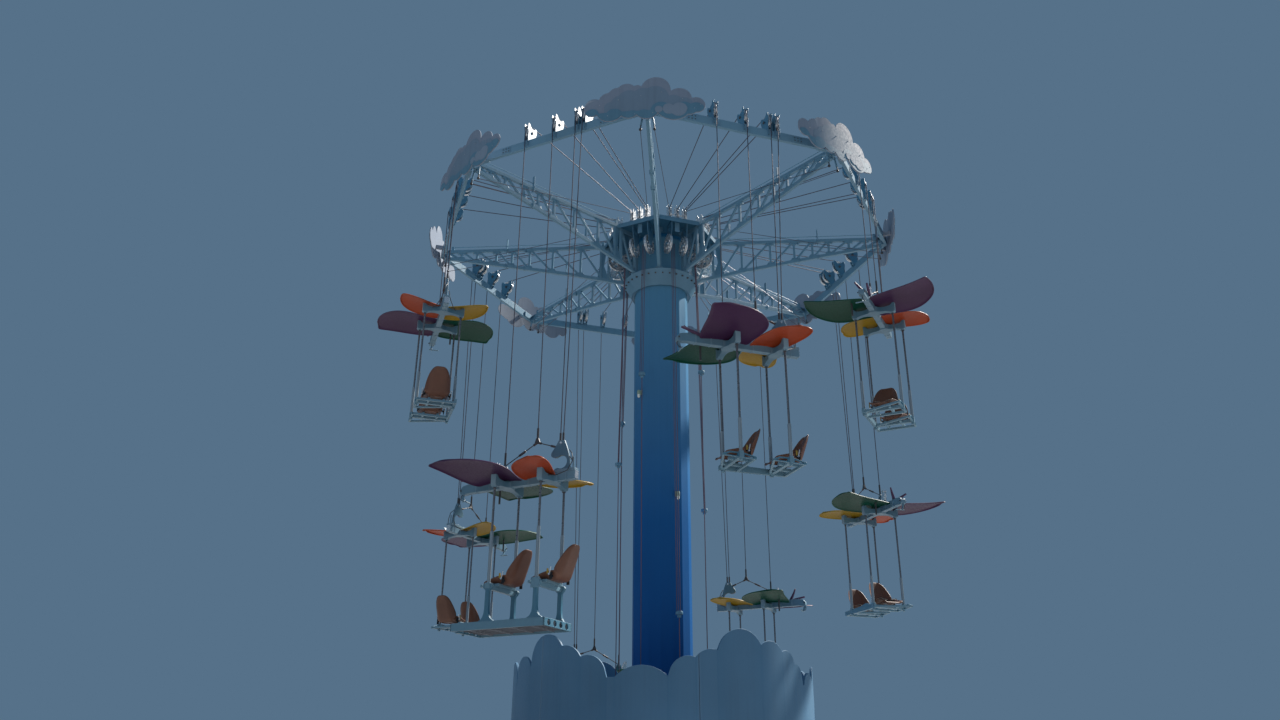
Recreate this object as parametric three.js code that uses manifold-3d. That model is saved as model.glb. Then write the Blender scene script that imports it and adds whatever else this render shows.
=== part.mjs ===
// Chair swing ride: a turning column carries an eight-sided ring of lattice arms, and eight winged
// two-seat gondolas hang on ropes from the ring, each at its own height.
// Millimetres, +Z up. The origin is on the ground at the centre of the ride, and -Y is the front.
import * as THREE from 'three';
import { mergeVertices } from 'three/addons/utils/BufferGeometryUtils.js';
import Module from 'manifold-3d';

const wasm = await Module();
wasm.setup();

// Driving dimensions
const SIDES = 8;
const STEP = 360 / SIDES;
const HALF = THREE.MathUtils.degToRad(STEP / 2);
const GAP = 0.3;
const RUNNING_GAP = 0.5;
// How far a welded bar runs into what carries it
const SEAT_DEPTH = 20;

const RING_R = 4700;
const RING_Z = 11940;
const BEAM = { width: 60, height: 160 };
const BEAM_OUT = RING_R * Math.cos(HALF) + BEAM.width / 2;

const PLINTH = { radius: 2622, height: 120 };
const PEDESTAL = { radius: 700, flange: 860, top: 720 };
const TABLE = { radius: 1350, height: 180 };
const WINCH = { radius: 960, width: 420, depth: 280, height: 420 };
const COLUMN = { radius: 545, faces: 16 };

const DECK = { radius: 1200, bottom: 12020, top: 12120 };
const COLLAR = { top: 11140, height: 300, topR: 760, bottomR: 590 };
const POST = { centre: 700, size: 80 };
const POST_FACE = POST.centre + POST.size / 2;
const TABLE_TOP = PEDESTAL.top + RUNNING_GAP + TABLE.height;

const FASCIA = { radius: 2620, thickness: 40, panels: 6, first: -45, columns: 18, low: 3080 };

const SHEAVE = { radius: 150, width: 70, centreN: 4270, centreZ: 12310 };
const SHEAVE_T = [-570, 0, 460, 600];
const DECK_SHEAVE = { radius: 120, width: 400, centreN: 975, centreZ: 12255 };
const DECK_FOOT = { depth: 120, width: 360 };
const DECK_ROPE_T = [-165, 0, 150, 180];
const ROPE_D = 16;
const HANG_N = SHEAVE.centreN + SHEAVE.radius + ROPE_D / 2 + 1;

// Gondolas, one to each side from the front right and anticlockwise seen from above
const GONDOLA_Z = [7820, 9380, 6600, 5200, 3700, 6300, 9720, 5750];
const PLATFORM_GONDOLA = 8;
const SPINE = { rear: -700, front: 1350, width: 100, height: 140 };
const ROD = { radius: 17, front: 500, rear: -300, side: 330 };
const ARM = { bottom: -120, reach: 375, thickness: 80, horn: 130 };
const LUG = { x: 570, top: 300 };
const FIN = { top: 560, thickness: 40, ropeX: [-405, -455] };
const APEX_Z = 620;
const SEAT_JOINT_Z = -1900;
const PLATFORM_JOINT_Z = -1600;
const PLATFORM = { rear: -480, front: 1080, half: 375, top: -2080, thickness: 110 };

// Finishes
function finish(color, roughness, metalness) {
  return new THREE.MeshStandardMaterial({ color, roughness, metalness });
}
const STEEL_BLUE = finish(0x4f7f96, 0.45, 0.2);
const COLUMN_BLUE = finish(0x2f5f86, 0.4, 0.2);
const CLOUD_GREY = finish(0x6f8496, 0.7, 0.0);
const WALL_BLUE = finish(0x5b7d9c, 0.7, 0.0);
const CANOPY_GREY = finish(0x7fa0ad, 0.5, 0.2);
const SEAT_FRAME = finish(0x6fa7b8, 0.45, 0.2);
const ROPE_STEEL = finish(0x4a4a52, 0.5, 0.8);
const CONCRETE_GREY = finish(0x8a8f94, 0.9, 0.0);

// Solids and booleans
function solid(geometry) {
  const bare = geometry.clone();
  bare.deleteAttribute('normal');
  bare.deleteAttribute('uv');
  const merged = mergeVertices(bare, 1e-3);
  return new wasm.Manifold(new wasm.Mesh({
    numProp: 3,
    vertProperties: new Float32Array(merged.attributes.position.array),
    triVerts: new Uint32Array(merged.index.array),
  }));
}

function geometryOf(manifold) {
  const mesh = manifold.getMesh();
  const geometry = new THREE.BufferGeometry();
  geometry.setAttribute('position', new THREE.BufferAttribute(mesh.vertProperties, mesh.numProp));
  geometry.setIndex(new THREE.BufferAttribute(mesh.triVerts, 1));
  return geometry;
}

function join(pieces) {
  return geometryOf(pieces.map(solid).reduce((whole, piece) => whole.add(piece)));
}

// Simple shapes
function block(x0, x1, y0, y1, z0, z1) {
  const box = new THREE.BoxGeometry(x1 - x0, y1 - y0, z1 - z0);
  return box.translate((x0 + x1) / 2, (y0 + y1) / 2, (z0 + z1) / 2);
}

// An upright prism with one corner on -Y, tapered when the two radii differ
function prism(bottomR, topR, z0, z1, sides = SIDES) {
  const body = new THREE.CylinderGeometry(topR, bottomR, z1 - z0, sides);
  return body.rotateX(Math.PI / 2).translate(0, 0, (z0 + z1) / 2);
}

function outline(points, holes = []) {
  const shape = new THREE.Shape(points.map(([a, b]) => new THREE.Vector2(a, b)));
  shape.holes = holes.map((hole) => new THREE.Path(hole.map(([a, b]) => new THREE.Vector2(a, b))));
  return shape;
}

// An outline in plan, standing from z0 to z1
function plan(points, z0, z1) {
  const body = new THREE.ExtrudeGeometry(outline(points), { depth: z1 - z0, bevelEnabled: false });
  return body.translate(0, 0, z0);
}

// An outline in the XZ plane, between y - thickness / 2 and y + thickness / 2
function upright(points, y, thickness, holes = []) {
  const body = new THREE.ExtrudeGeometry(outline(points, holes), { depth: thickness, bevelEnabled: false });
  return body.rotateX(Math.PI / 2).translate(0, y + thickness / 2, 0);
}

// An outline in the YZ plane, between x - thickness / 2 and x + thickness / 2
function across(points, x, thickness) {
  const body = new THREE.ExtrudeGeometry(outline(points), { depth: thickness, bevelEnabled: false });
  return body.rotateX(Math.PI / 2).rotateZ(Math.PI / 2).translate(x - thickness / 2, 0, 0);
}

// A straight bar of square section between two points, with each end run on by a little
function bar(from, to, size, runOn = 0) {
  const start = new THREE.Vector3(...from);
  const end = new THREE.Vector3(...to);
  const length = start.distanceTo(end);
  const body = new THREE.BoxGeometry(size, length + 2 * runOn, size);
  const turn = new THREE.Quaternion().setFromUnitVectors(
    new THREE.Vector3(0, 1, 0), end.clone().sub(start).normalize());
  body.applyQuaternion(turn);
  return body.translate((start.x + end.x) / 2, (start.y + end.y) / 2, (start.z + end.z) / 2);
}

// A rope of square section along points that turn in the XZ plane, with mitred corners
function rope(points) {
  const normals = points.slice(1).map(([x, , z], i) => (
    new THREE.Vector2(z - points[i][2], points[i][0] - x).normalize()));
  const mitre = (i) => {
    const before = normals[Math.max(i - 1, 0)];
    const after = normals[Math.min(i, normals.length - 1)];
    const middle = before.clone().add(after).normalize();
    return middle.divideScalar(middle.dot(before));
  };
  const last = points.length - 1;
  return mapped(last, 1, (u, v, w) => {
    const i = Math.round(u * last);
    const [x, y, z] = points[i];
    const normal = mitre(i);
    const side = (0.5 - w) * ROPE_D;
    return [x + side * normal.x, y + (v - 0.5) * ROPE_D, z + side * normal.y];
  });
}

// The height of the round lobes along a board: the highest circle over each place
function lobeTop(place, lobes, low) {
  return lobes.reduce((height, [centre, z, radius]) => {
    const offset = place - centre;
    return Math.abs(offset) < radius ? Math.max(height, z + Math.sqrt(radius ** 2 - offset ** 2)) : height;
  }, low);
}

function lobeBottom(place, lobes, high) {
  return -lobeTop(place, lobes.map(([centre, z, radius]) => [centre, -z, radius]), -high);
}

// Moves each point of a box that runs from 0 to 1 along all three axes
function mapped(columns, rows, place) {
  const box = new THREE.BoxGeometry(1, 1, 1, columns, rows, 1).translate(0.5, 0.5, 0.5);
  const position = box.attributes.position;
  for (let i = 0; i < position.count; i += 1) {
    position.setXYZ(i, ...place(position.getX(i), position.getY(i), position.getZ(i)));
  }
  return box;
}

// Fixed base: a round plinth and the pedestal that carries the slewing ring
function baseFrame() {
  const plinth = prism(PLINTH.radius, PLINTH.radius, 0, PLINTH.height, 36);
  const flange = prism(PEDESTAL.flange, PEDESTAL.flange, PLINTH.height - 10, PLINTH.height + 50, 16);
  const drum = prism(PEDESTAL.radius, PEDESTAL.radius, PLINTH.height, PEDESTAL.top - 80, 16);
  const race = prism(PEDESTAL.flange, PEDESTAL.flange, PEDESTAL.top - 90, PEDESTAL.top, 16);
  return join([plinth, flange, drum, race]);
}

// The cloud-topped wall round the base: [azimuth in degrees, lobe centre height, lobe radius],
// over half of the circle, repeated on the other half
const FASCIA_LOBES = [
  [-73, 3190, 300], [-59, 3200, 320], [-43, 3370, 430], [-33.5, 3250, 345], [-24, 3100, 325],
  [-4.5, 2650, 600], [11.5, 3080, 310], [19.5, 3190, 310], [31, 3400, 430], [44, 3360, 330],
  [52.5, 3330, 245], [58.5, 3140, 250], [72, 2980, 320], [85, 3120, 340], [97, 3000, 320],
];

function fasciaTop(azimuth) {
  const arc = (degrees) => THREE.MathUtils.degToRad(degrees) * FASCIA.radius;
  const all = [-360, -180, 0, 180, 360].flatMap((turn) => (
    FASCIA_LOBES.map(([centre, z, radius]) => [arc(centre + turn), z, radius])));
  return lobeTop(arc(azimuth), all, FASCIA.low);
}

function fasciaPanel(index) {
  const width = 360 / FASCIA.panels;
  const start = FASCIA.first + index * width;
  const seam = THREE.MathUtils.radToDeg(GAP / 2 / FASCIA.radius);
  return mapped(FASCIA.columns, 1, (u, v, w) => {
    const azimuth = start + seam + u * (width - 2 * seam);
    const angle = THREE.MathUtils.degToRad(azimuth - 90);
    const radius = FASCIA.radius - v * FASCIA.thickness;
    const z = w < 0.5 ? PLINTH.height + GAP : fasciaTop(azimuth);
    return [radius * Math.cos(angle), radius * Math.sin(angle), z];
  });
}

// Turntable on the slewing ring, with one rope winch housing to each side
function turntable() {
  const bottom = PEDESTAL.top + RUNNING_GAP;
  const top = bottom + TABLE.height;
  const pieces = [prism(TABLE.radius, TABLE.radius, bottom, top)];
  for (let side = 0; side < SIDES; side += 1) {
    const winch = block(WINCH.radius - WINCH.depth / 2, WINCH.radius + WINCH.depth / 2,
      -WINCH.width / 2, WINCH.width / 2, top - 20, top + WINCH.height);
    pieces.push(winch.rotateZ(THREE.MathUtils.degToRad((side + 0.5) * STEP - 90)));
  }
  return join(pieces);
}

// The folded steel column, with sixteen faces
function column() {
  return prism(COLUMN.radius, COLUMN.radius, TABLE_TOP + GAP, DECK.bottom - GAP, COLUMN.faces);
}

// Hub: top deck with its sheaves, corner posts and the collar on the column
function hub() {
  const bore = COLUMN.radius + GAP;
  const low = COLLAR.top - COLLAR.height;
  const collar = solid(prism(COLLAR.bottomR, COLLAR.topR, low, COLLAR.top, COLUMN.faces));
  let whole = collar.subtract(solid(prism(bore, bore, low - 10, COLLAR.top + 10, COLUMN.faces)));
  whole = whole.add(solid(prism(DECK.radius, DECK.radius, DECK.bottom, DECK.top)));
  for (let side = 0; side < SIDES; side += 1) {
    const corner = THREE.MathUtils.degToRad(side * STEP - 90);
    const middle = THREE.MathUtils.degToRad((side + 0.5) * STEP - 90);
    const half = POST.size / 2;
    const post = block(POST.centre - half, POST.centre + half, -half, half,
      COLLAR.top - SEAT_DEPTH, DECK.bottom + SEAT_DEPTH);
    whole = whole.add(solid(post.rotateZ(corner)));
    const wheels = new THREE.CylinderGeometry(DECK_SHEAVE.radius, DECK_SHEAVE.radius, DECK_SHEAVE.width, 8);
    wheels.translate(DECK_SHEAVE.centreN, 0, DECK_SHEAVE.centreZ);
    const foot = block(-DECK_FOOT.depth / 2, DECK_FOOT.depth / 2, -DECK_FOOT.width / 2, DECK_FOOT.width / 2,
      DECK.top - SEAT_DEPTH, DECK_SHEAVE.centreZ).translate(DECK_SHEAVE.centreN, 0, 0);
    whole = whole.add(solid(wheels.rotateZ(middle))).add(solid(foot.rotateZ(middle)));
  }
  return geometryOf(whole);
}

// The eight lines inside the hub and down the column, each through its collector block, with a guide
// ring on the column over the winches
const GUIDE = { z: 1900, thickness: 30, outer: 960 };
const DOWN_LINE = { centreN: 870, width: 24 };
const COLLECTOR = { depth: 90, width: 120, height: 90 };
const COLLECTOR_Z = [4300, 9000, 6400, 7600, 5200, 8200, 4600, 8800];

function downRopes() {
  const bore = COLUMN.radius + GAP;
  const opening = prism(bore, bore, GUIDE.z - 10, GUIDE.z + GUIDE.thickness + 10, COLUMN.faces);
  let whole = solid(prism(GUIDE.outer, GUIDE.outer, GUIDE.z, GUIDE.z + GUIDE.thickness));
  whole = whole.subtract(solid(opening));
  for (let side = 0; side < SIDES; side += 1) {
    const middle = THREE.MathUtils.degToRad((side + 0.5) * STEP - 90);
    const z = COLLECTOR_Z[side];
    const bottom = TABLE_TOP + WINCH.height + GAP;
    const post = (depth, width, z0, z1) => block(DOWN_LINE.centreN - depth / 2,
      DOWN_LINE.centreN + depth / 2, -width / 2, width / 2, z0, z1);
    const line = post(DOWN_LINE.width, DOWN_LINE.width, bottom, DECK.bottom - GAP);
    const half = COLLECTOR.height / 2;
    const collector = post(COLLECTOR.depth, COLLECTOR.width, z - half, z + half);
    whole = whole.add(solid(line.rotateZ(middle))).add(solid(collector.rotateZ(middle)));
  }
  return geometryOf(whole);
}

// Lattice arm from the hub to a ring corner, in its own frame with X outward
const TRUSS = {
  inner: DECK.radius + GAP, outer: RING_R + 25, thickness: 60, bar: 50, chord: 70, top: 12105,
  uprights: [1700, 2300, 2800, 3180, 3520, 3940, 4275],
};
const BOTTOM_CHORD = [[POST_FACE + GAP, 11190], [1750, 11410], [3120, 11660], [4560, 11915]];
const STAY = { height: 75, size: 18, inner: TRUSS.inner + 50, outer: 4450, lug: 60, lugWidth: 30 };

function bottomChordZ(r) {
  const index = BOTTOM_CHORD.findIndex(([end]) => end >= r);
  const [r1, z1] = BOTTOM_CHORD[Math.max(index, 1)];
  const [r0, z0] = BOTTOM_CHORD[Math.max(index, 1) - 1];
  return z0 + (z1 - z0) * (r - r0) / (r1 - r0);
}

// The two three-cornered openings of a bay whose diagonal rises outward
function bayOpenings(left, right) {
  const low = (r) => bottomChordZ(r) + TRUSS.chord / 2;
  const high = TRUSS.top - TRUSS.chord;
  const corners = [[left, low(left)], [right, low(right)], [right, high], [left, high]];
  const shrink = (apex, a, b) => {
    const area = Math.abs((a[0] - apex[0]) * (b[1] - apex[1]) - (b[0] - apex[0]) * (a[1] - apex[1]));
    const depth = area / Math.hypot(a[0] - b[0], a[1] - b[1]);
    const keep = 1 - TRUSS.bar / 2 / depth;
    const towards = (p) => [apex[0] + (p[0] - apex[0]) * keep, apex[1] + (p[1] - apex[1]) * keep];
    return [apex, towards(a), towards(b)];
  };
  const [a, b, c, d] = corners;
  return [shrink(b, c, a), shrink(d, a, c)];
}

function truss() {
  const half = TRUSS.chord / 2;
  const under = BOTTOM_CHORD.map(([r, z]) => [r, z - half]);
  const innerR = BOTTOM_CHORD[0][0];
  const profile = [
    ...under, [TRUSS.outer, RING_Z - 10], [TRUSS.outer, TRUSS.top], [TRUSS.inner, TRUSS.top],
    [TRUSS.inner, bottomChordZ(TRUSS.inner) + half], [innerR, bottomChordZ(innerR) + half],
  ];
  const faces = [TRUSS.inner + TRUSS.bar / 2, ...TRUSS.uprights];
  const openings = faces.slice(1).flatMap((r, i) => (
    bayOpenings(faces[i] + TRUSS.bar / 2, r - TRUSS.bar / 2)));
  const lattice = upright(profile, 0, TRUSS.thickness, openings);
  const stayZ = TRUSS.top + STAY.height;
  const lug = (r) => block(r, r + STAY.lug, -STAY.lugWidth / 2, STAY.lugWidth / 2,
    TRUSS.top - SEAT_DEPTH, stayZ + STAY.size);
  const stay = bar([STAY.inner, 0, stayZ], [STAY.outer, 0, stayZ], STAY.size);
  return join([lattice, lug(STAY.inner - 50), lug(STAY.outer - 10), stay]);
}

// Ring beam on one side, with its four rope sheaves, in its own frame with X outward
function ringBeam() {
  const inside = BEAM_OUT - BEAM.width;
  const end = (n) => n * Math.tan(HALF) - (TRUSS.thickness / 2 + GAP) / Math.cos(HALF);
  const pieces = [plan([
    [inside, -end(inside)], [BEAM_OUT, -end(BEAM_OUT)], [BEAM_OUT, end(BEAM_OUT)], [inside, end(inside)],
  ], RING_Z, RING_Z + BEAM.height)];
  SHEAVE_T.forEach((t) => {
    const wheel = new THREE.CylinderGeometry(SHEAVE.radius, SHEAVE.radius, SHEAVE.width, 8);
    pieces.push(wheel.translate(SHEAVE.centreN, t, SHEAVE.centreZ));
    const bracket = [
      [inside - 40, RING_Z + 120], [BEAM_OUT + 12, RING_Z + 60], [BEAM_OUT + 12, SHEAVE.centreZ - 60],
      [SHEAVE.centreN + 30, SHEAVE.centreZ + 60], [SHEAVE.centreN - 60, SHEAVE.centreZ],
    ];
    pieces.push(upright(bracket, t, SHEAVE.width + 24));
  });
  return join(pieces);
}

// Cloud board across a ring corner, bowed a little, in its own frame with X outward:
// [distance along the board, lobe centre height, lobe radius]
const CLOUD = { left: -1060, right: 980, inner: 4760, bow: 60, thickness: 30, columns: 34 };
const CLOUD_END = { low: 11990, high: 12060 };
const CLOUD_LOBES = [
  [-900, 12070, 155], [-640, 12150, 180], [-500, 12260, 160], [-345, 12315, 175], [-160, 12370, 80],
  [150, 12350, 250], [550, 12160, 205], [850, 12030, 130],
];
const CLOUD_FEET = [
  [-920, 12010, 140], [-620, 11980, 240], [-300, 11950, 170], [0, 11950, 200], [450, 12030, 310],
  [850, 12010, 130],
];
const CLOUD_STUB = { fromCorner: 300, length: 163, width: 50, low: 40, high: 120 };

function cloudBoard() {
  const board = mapped(CLOUD.columns, 1, (u, v, w) => {
    const s = CLOUD.left + u * (CLOUD.right - CLOUD.left);
    const n = CLOUD.inner + CLOUD.thickness * (1 - v) - CLOUD.bow * (s / 1000) ** 2;
    const z = w > 0.5 ? lobeTop(s, CLOUD_LOBES, CLOUD_END.high) : lobeBottom(s, CLOUD_FEET, CLOUD_END.low);
    return [n, s, z];
  });
  const stub = (side) => {
    const t = side * (BEAM_OUT * Math.tan(HALF) - CLOUD_STUB.fromCorner);
    const half = CLOUD_STUB.width / 2;
    const body = block(BEAM_OUT + GAP, BEAM_OUT + CLOUD_STUB.length, t - half, t + half,
      RING_Z + CLOUD_STUB.low, RING_Z + CLOUD_STUB.high);
    return body.rotateZ(-side * HALF);
  };
  return join([board, stub(1), stub(-1)]);
}

// Canopy of a gondola: spine, horned arms, rope lug, tail fin and four wings, with X forward
// Each wing is given by rows from its root to its tip: [distance from the spine, rear edge, front edge]
const FRONT_WING = [
  [45, 190, 1000], [450, 130, 1090], [780, 165, 1130], [1010, 390, 1175], [1130, 760, 1080],
];
const REAR_WING = [[45, -380, 170], [320, -490, 160], [570, -580, 70], [740, -585, -100], [805, -500, -330]];
const WING = { rise: 90, span: 1100, root: 20, crown: 35, thickness: 24 };

function wing(rows, side) {
  return mapped(2, rows.length - 1, (u, v, w) => {
    const along = side > 0 ? v : 1 - v;
    const [y, rear, front] = rows[Math.round(along * (rows.length - 1))];
    const out = y / WING.span;
    const crown = WING.crown * Math.sin(Math.PI * u) * (1 - out / 2);
    const z = WING.root + WING.rise * out ** 1.6 + crown + (w - 0.5) * WING.thickness;
    return [rear + (front - rear) * u, side * y, z];
  });
}

// Across the spine: pointed horns over the rods, and a belly below
function armProfile() {
  const reach = ARM.reach;
  return [
    [-reach - 10, ARM.horn], [-reach + 40, 20], [-reach + 100, -5], [0, -50], [reach - 100, -5],
    [reach - 40, 20],
    [reach + 10, ARM.horn], [reach - 10, ARM.bottom], [reach - 80, ARM.bottom], [-reach + 80, ARM.bottom],
    [-reach + 10, ARM.bottom],
  ];
}

// A hook that opens forward over a round throat
const FIN_PROFILE = [
  [-300, 50], [-335, 125], [-385, 140], [-440, 125], [-510, 160], [-535, 225], [-505, 295], [-440, 318],
  [-370, 300], [-335, 300], [-270, 322], [-260, 378], [-330, 470], [-375, FIN.top], [-485, FIN.top],
  [-565, 337], [-600, 50],
];

function canopy() {
  const half = SPINE.width / 2;
  const spine = block(SPINE.rear, SPINE.front, -half, half, -SPINE.height / 2, SPINE.height / 2);
  const lug = upright([
    [LUG.x - 110, 50], [LUG.x + 110, 50], [LUG.x + 40, LUG.top], [LUG.x - 40, LUG.top],
  ], 0, 40);
  const fin = upright(FIN_PROFILE, 0, FIN.thickness);
  const arms = [ROD.front, ROD.rear].map((x) => across(armProfile(), x, ARM.thickness));
  const wings = [1, -1].flatMap((side) => [wing(FRONT_WING, side), wing(REAR_WING, side)]);
  return join([spine, lug, fin, ...arms, ...wings]);
}

// Seats of a gondola on their four rods
const SHELL = { width: 480, wing: 16 };

function seatShell(x, z) {
  const shell = upright([
    [x + 190, z + 85], [x - 240, z + 60], [x - 440, z + 600], [x - 485, z + 590], [x - 295, z - 15],
    [x + 180, z + 35],
  ], 0, SHELL.width);
  const wings = [1, -1].map((side) => upright([
    [x - 80, z + 40], [x - 80, z + 190], [x - 250, z + 260], [x - 470, z + 560], [x - 300, z],
  ], side * (SHELL.width - SHELL.wing) / 2, SHELL.wing));
  return [shell, ...wings];
}

function rods(bottom) {
  return [ROD.front, ROD.rear].flatMap((x) => [1, -1].map((side) => (
    prism(ROD.radius, ROD.radius, bottom, ARM.bottom - GAP, 4).translate(x, side * ROD.side, 0))));
}

function crossBar(x, z, size = 40) {
  return block(x - size / 2, x + size / 2, -ROD.side - 20, ROD.side + 20, z - size / 2, z + size / 2);
}

// The flat welded frame under a hanging seat: a cross tube between its rods, a tube behind it, a plate
// along the outer side and a slanting front bar
function seatFrame(x, z) {
  const side = upright([
    [x - 240, z - 35], [x + 40, z - 25], [x + 290, z - 15], [x + 290, z + 15], [x + 180, z + 55],
    [x - 40, z + 50], [x - 240, z + 5],
  ], ROD.side, 36);
  const rear = block(x - 240, x - 200, -ROD.side, ROD.side, z - 35, z + 5);
  const front = bar([x + 272, ROD.side - 15, z], [x + 30, -ROD.side, z], 36);
  return [crossBar(x, z + 10, 60), rear, side, front];
}

// One rail along the inner side joins the frames of the two hanging seats
function innerRail(z) {
  return upright([
    [-545, z - 30], [570, z - 30], [570, z + 40], [420, z + 50], [250, z + 100], [60, z + 65],
    [-545, z + 50],
  ], -ROD.side, 50);
}

function hangingSeats() {
  const z = SEAT_JOINT_Z;
  const pieces = [...rods(z - 10), innerRail(z)];
  [ROD.front, ROD.rear].forEach((x) => pieces.push(...seatFrame(x, z), ...seatShell(x, z)));
  return join(pieces);
}

function platformSeats() {
  const z = PLATFORM_JOINT_Z;
  const pieces = rods(z - 20);
  const deckTop = PLATFORM.top;
  pieces.push(block(PLATFORM.rear, PLATFORM.front, -PLATFORM.half, PLATFORM.half,
    deckTop - PLATFORM.thickness, deckTop));
  [ROD.front, ROD.rear].forEach((x) => {
    [1, -1].forEach((side) => {
      pieces.push(upright([
        [x - 120, deckTop - 10], [x + 120, deckTop - 10], [x + 30, deckTop + 110], [x + 30, z + 50],
        [x - 30, z + 50], [x - 30, deckTop + 110],
      ], side * ROD.side, 50));
    });
    pieces.push(crossBar(x, z, 60), crossBar(x + 110, z + 20), ...seatShell(x, z));
    pieces.push(block(x - 30, x + 150, -180, 180, z - 20, z + 35));
  });
  return join(pieces);
}

// The four ropes of one side: along from the hub, over the ring sheaves and down to the canopy
const CLAMP = { width: 36, overlap: 20, height: 40 };

function ropes(index) {
  const z = GONDOLA_Z[index];
  const wrap = (SHEAVE.radius * Math.cos(HALF) + ROPE_D / 2 + GAP) / Math.cos(HALF);
  const diagonal = wrap * Math.SQRT1_2;
  const ends = [
    [-LUG.x, z + LUG.top + 30], [0, z + APEX_Z],
    ...FIN.ropeX.map((x) => [-x, z + FIN.top + CLAMP.height / 2]),
  ];
  const pieces = SHEAVE_T.map((t, i) => rope([
    [HANG_N, ends[i][0], ends[i][1]],
    [HANG_N, t, SHEAVE.centreZ],
    [SHEAVE.centreN + diagonal, t, SHEAVE.centreZ + diagonal],
    [SHEAVE.centreN, t, SHEAVE.centreZ + wrap],
    [DECK_SHEAVE.centreN, DECK_ROPE_T[i], DECK_SHEAVE.centreZ + DECK_SHEAVE.radius + ROPE_D / 2 + 1],
  ]));
  const [front, apex, rear] = ends.map(([t, height]) => [HANG_N, t, height]);
  pieces.push(bar(apex, front, ROPE_D, 3), bar(apex, rear, ROPE_D, 3));
  const [first, second] = FIN.ropeX;
  pieces.push(block(HANG_N - CLAMP.width / 2, HANG_N + CLAMP.width / 2, -first - CLAMP.overlap,
    -second + CLAMP.overlap, z + FIN.top + GAP, z + FIN.top + CLAMP.height));
  return join(pieces);
}

// Assembly
function named(name, geometry, material) {
  const mesh = new THREE.Mesh(geometry, material);
  mesh.name = name;
  return mesh;
}

// A frame with X outward at an azimuth, counted anticlockwise from the front
function facing(azimuth) {
  const group = new THREE.Group();
  group.rotation.z = THREE.MathUtils.degToRad(azimuth - 90);
  return group;
}

const ride = new THREE.Group();
ride.add(named('base_frame', baseFrame(), CONCRETE_GREY));
for (let i = 0; i < FASCIA.panels; i += 1) {
  ride.add(named(`fascia_${i + 1}`, fasciaPanel(i), WALL_BLUE));
}
ride.add(named('turntable', turntable(), STEEL_BLUE));
ride.add(named('column', column(), COLUMN_BLUE));
ride.add(named('hub', hub(), STEEL_BLUE));
ride.add(named('down_ropes', downRopes(), ROPE_STEEL));

const TRUSS_SHAPE = truss();
const BEAM_SHAPE = ringBeam();
const CLOUD_SHAPE = cloudBoard();
const CANOPY_SHAPE = canopy();
const SEAT_SHAPE = hangingSeats();
const PLATFORM_SHAPE = platformSeats();

for (let i = 1; i <= SIDES; i += 1) {
  const corner = facing(i * STEP);
  corner.add(named(`truss_${i}`, TRUSS_SHAPE, STEEL_BLUE));
  corner.add(named(`cloud_${i}`, CLOUD_SHAPE, CLOUD_GREY));
  const side = facing((i - 0.5) * STEP);
  side.add(named(`ring_beam_${i}`, BEAM_SHAPE, STEEL_BLUE));
  side.add(named(`ropes_${i}`, ropes(i - 1), ROPE_STEEL));
  const gondola = new THREE.Group();
  gondola.position.set(HANG_N, 0, GONDOLA_Z[i - 1]);
  gondola.rotation.z = -Math.PI / 2;
  gondola.add(named(`canopy_${i}`, CANOPY_SHAPE, CANOPY_GREY));
  gondola.add(named(`seats_${i}`, i === PLATFORM_GONDOLA ? PLATFORM_SHAPE : SEAT_SHAPE, SEAT_FRAME));
  side.add(gondola);
  ride.add(corner, side);
}

export default ride;
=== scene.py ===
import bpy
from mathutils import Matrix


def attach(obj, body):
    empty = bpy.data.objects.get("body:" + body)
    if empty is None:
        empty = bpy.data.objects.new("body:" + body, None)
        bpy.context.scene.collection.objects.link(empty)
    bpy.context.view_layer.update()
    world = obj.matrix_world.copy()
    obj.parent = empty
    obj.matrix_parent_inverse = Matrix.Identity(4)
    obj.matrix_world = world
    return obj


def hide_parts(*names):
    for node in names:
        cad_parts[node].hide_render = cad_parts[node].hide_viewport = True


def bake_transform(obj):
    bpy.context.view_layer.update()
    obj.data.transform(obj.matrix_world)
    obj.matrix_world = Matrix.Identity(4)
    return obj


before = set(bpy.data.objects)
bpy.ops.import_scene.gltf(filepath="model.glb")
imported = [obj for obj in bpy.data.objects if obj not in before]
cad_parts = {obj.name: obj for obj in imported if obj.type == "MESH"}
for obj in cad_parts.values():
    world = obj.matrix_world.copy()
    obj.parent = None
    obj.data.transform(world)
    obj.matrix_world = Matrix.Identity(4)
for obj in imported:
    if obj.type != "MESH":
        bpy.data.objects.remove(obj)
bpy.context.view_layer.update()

from math import atan2, copysign, cos, degrees, pi, radians, sin, sqrt, tan, tau

import bmesh
import bpy
from bmesh import new, ops
from mathutils import Matrix, Vector

# The view: an eye at 1.6 m, a little to the right of the front and 18 m out, with the lens tipped up.
# A high sun stands behind the ride on the right, and a plain soft sky fills the shade.
scene = bpy.context.scene
scene.view_settings.view_transform = "Standard"
EYE = Vector((.848, -18.117, 1.6))
HEADING, TILT, ROLL = radians(94.03), radians(23.354), radians(.29)
FILM, LENS, FARTHEST = 36, 27.53, 300
ahead = Vector((cos(HEADING) * cos(TILT), sin(HEADING) * cos(TILT), sin(TILT)))
level = Vector((sin(HEADING), -cos(HEADING), 0))
above = level.cross(ahead)
right = level * cos(ROLL) + above * sin(ROLL)
upward = above * cos(ROLL) - level * sin(ROLL)
camera = bpy.data.objects.new("camera", bpy.data.cameras.new("camera"))
camera.matrix_world = Matrix.Translation(EYE) @ Matrix((right, upward, -ahead)).transposed().to_4x4()
camera.data.sensor_width, camera.data.lens, camera.data.clip_end = FILM, LENS, FARTHEST
scene.collection.objects.link(camera)
scene.camera = camera

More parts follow.
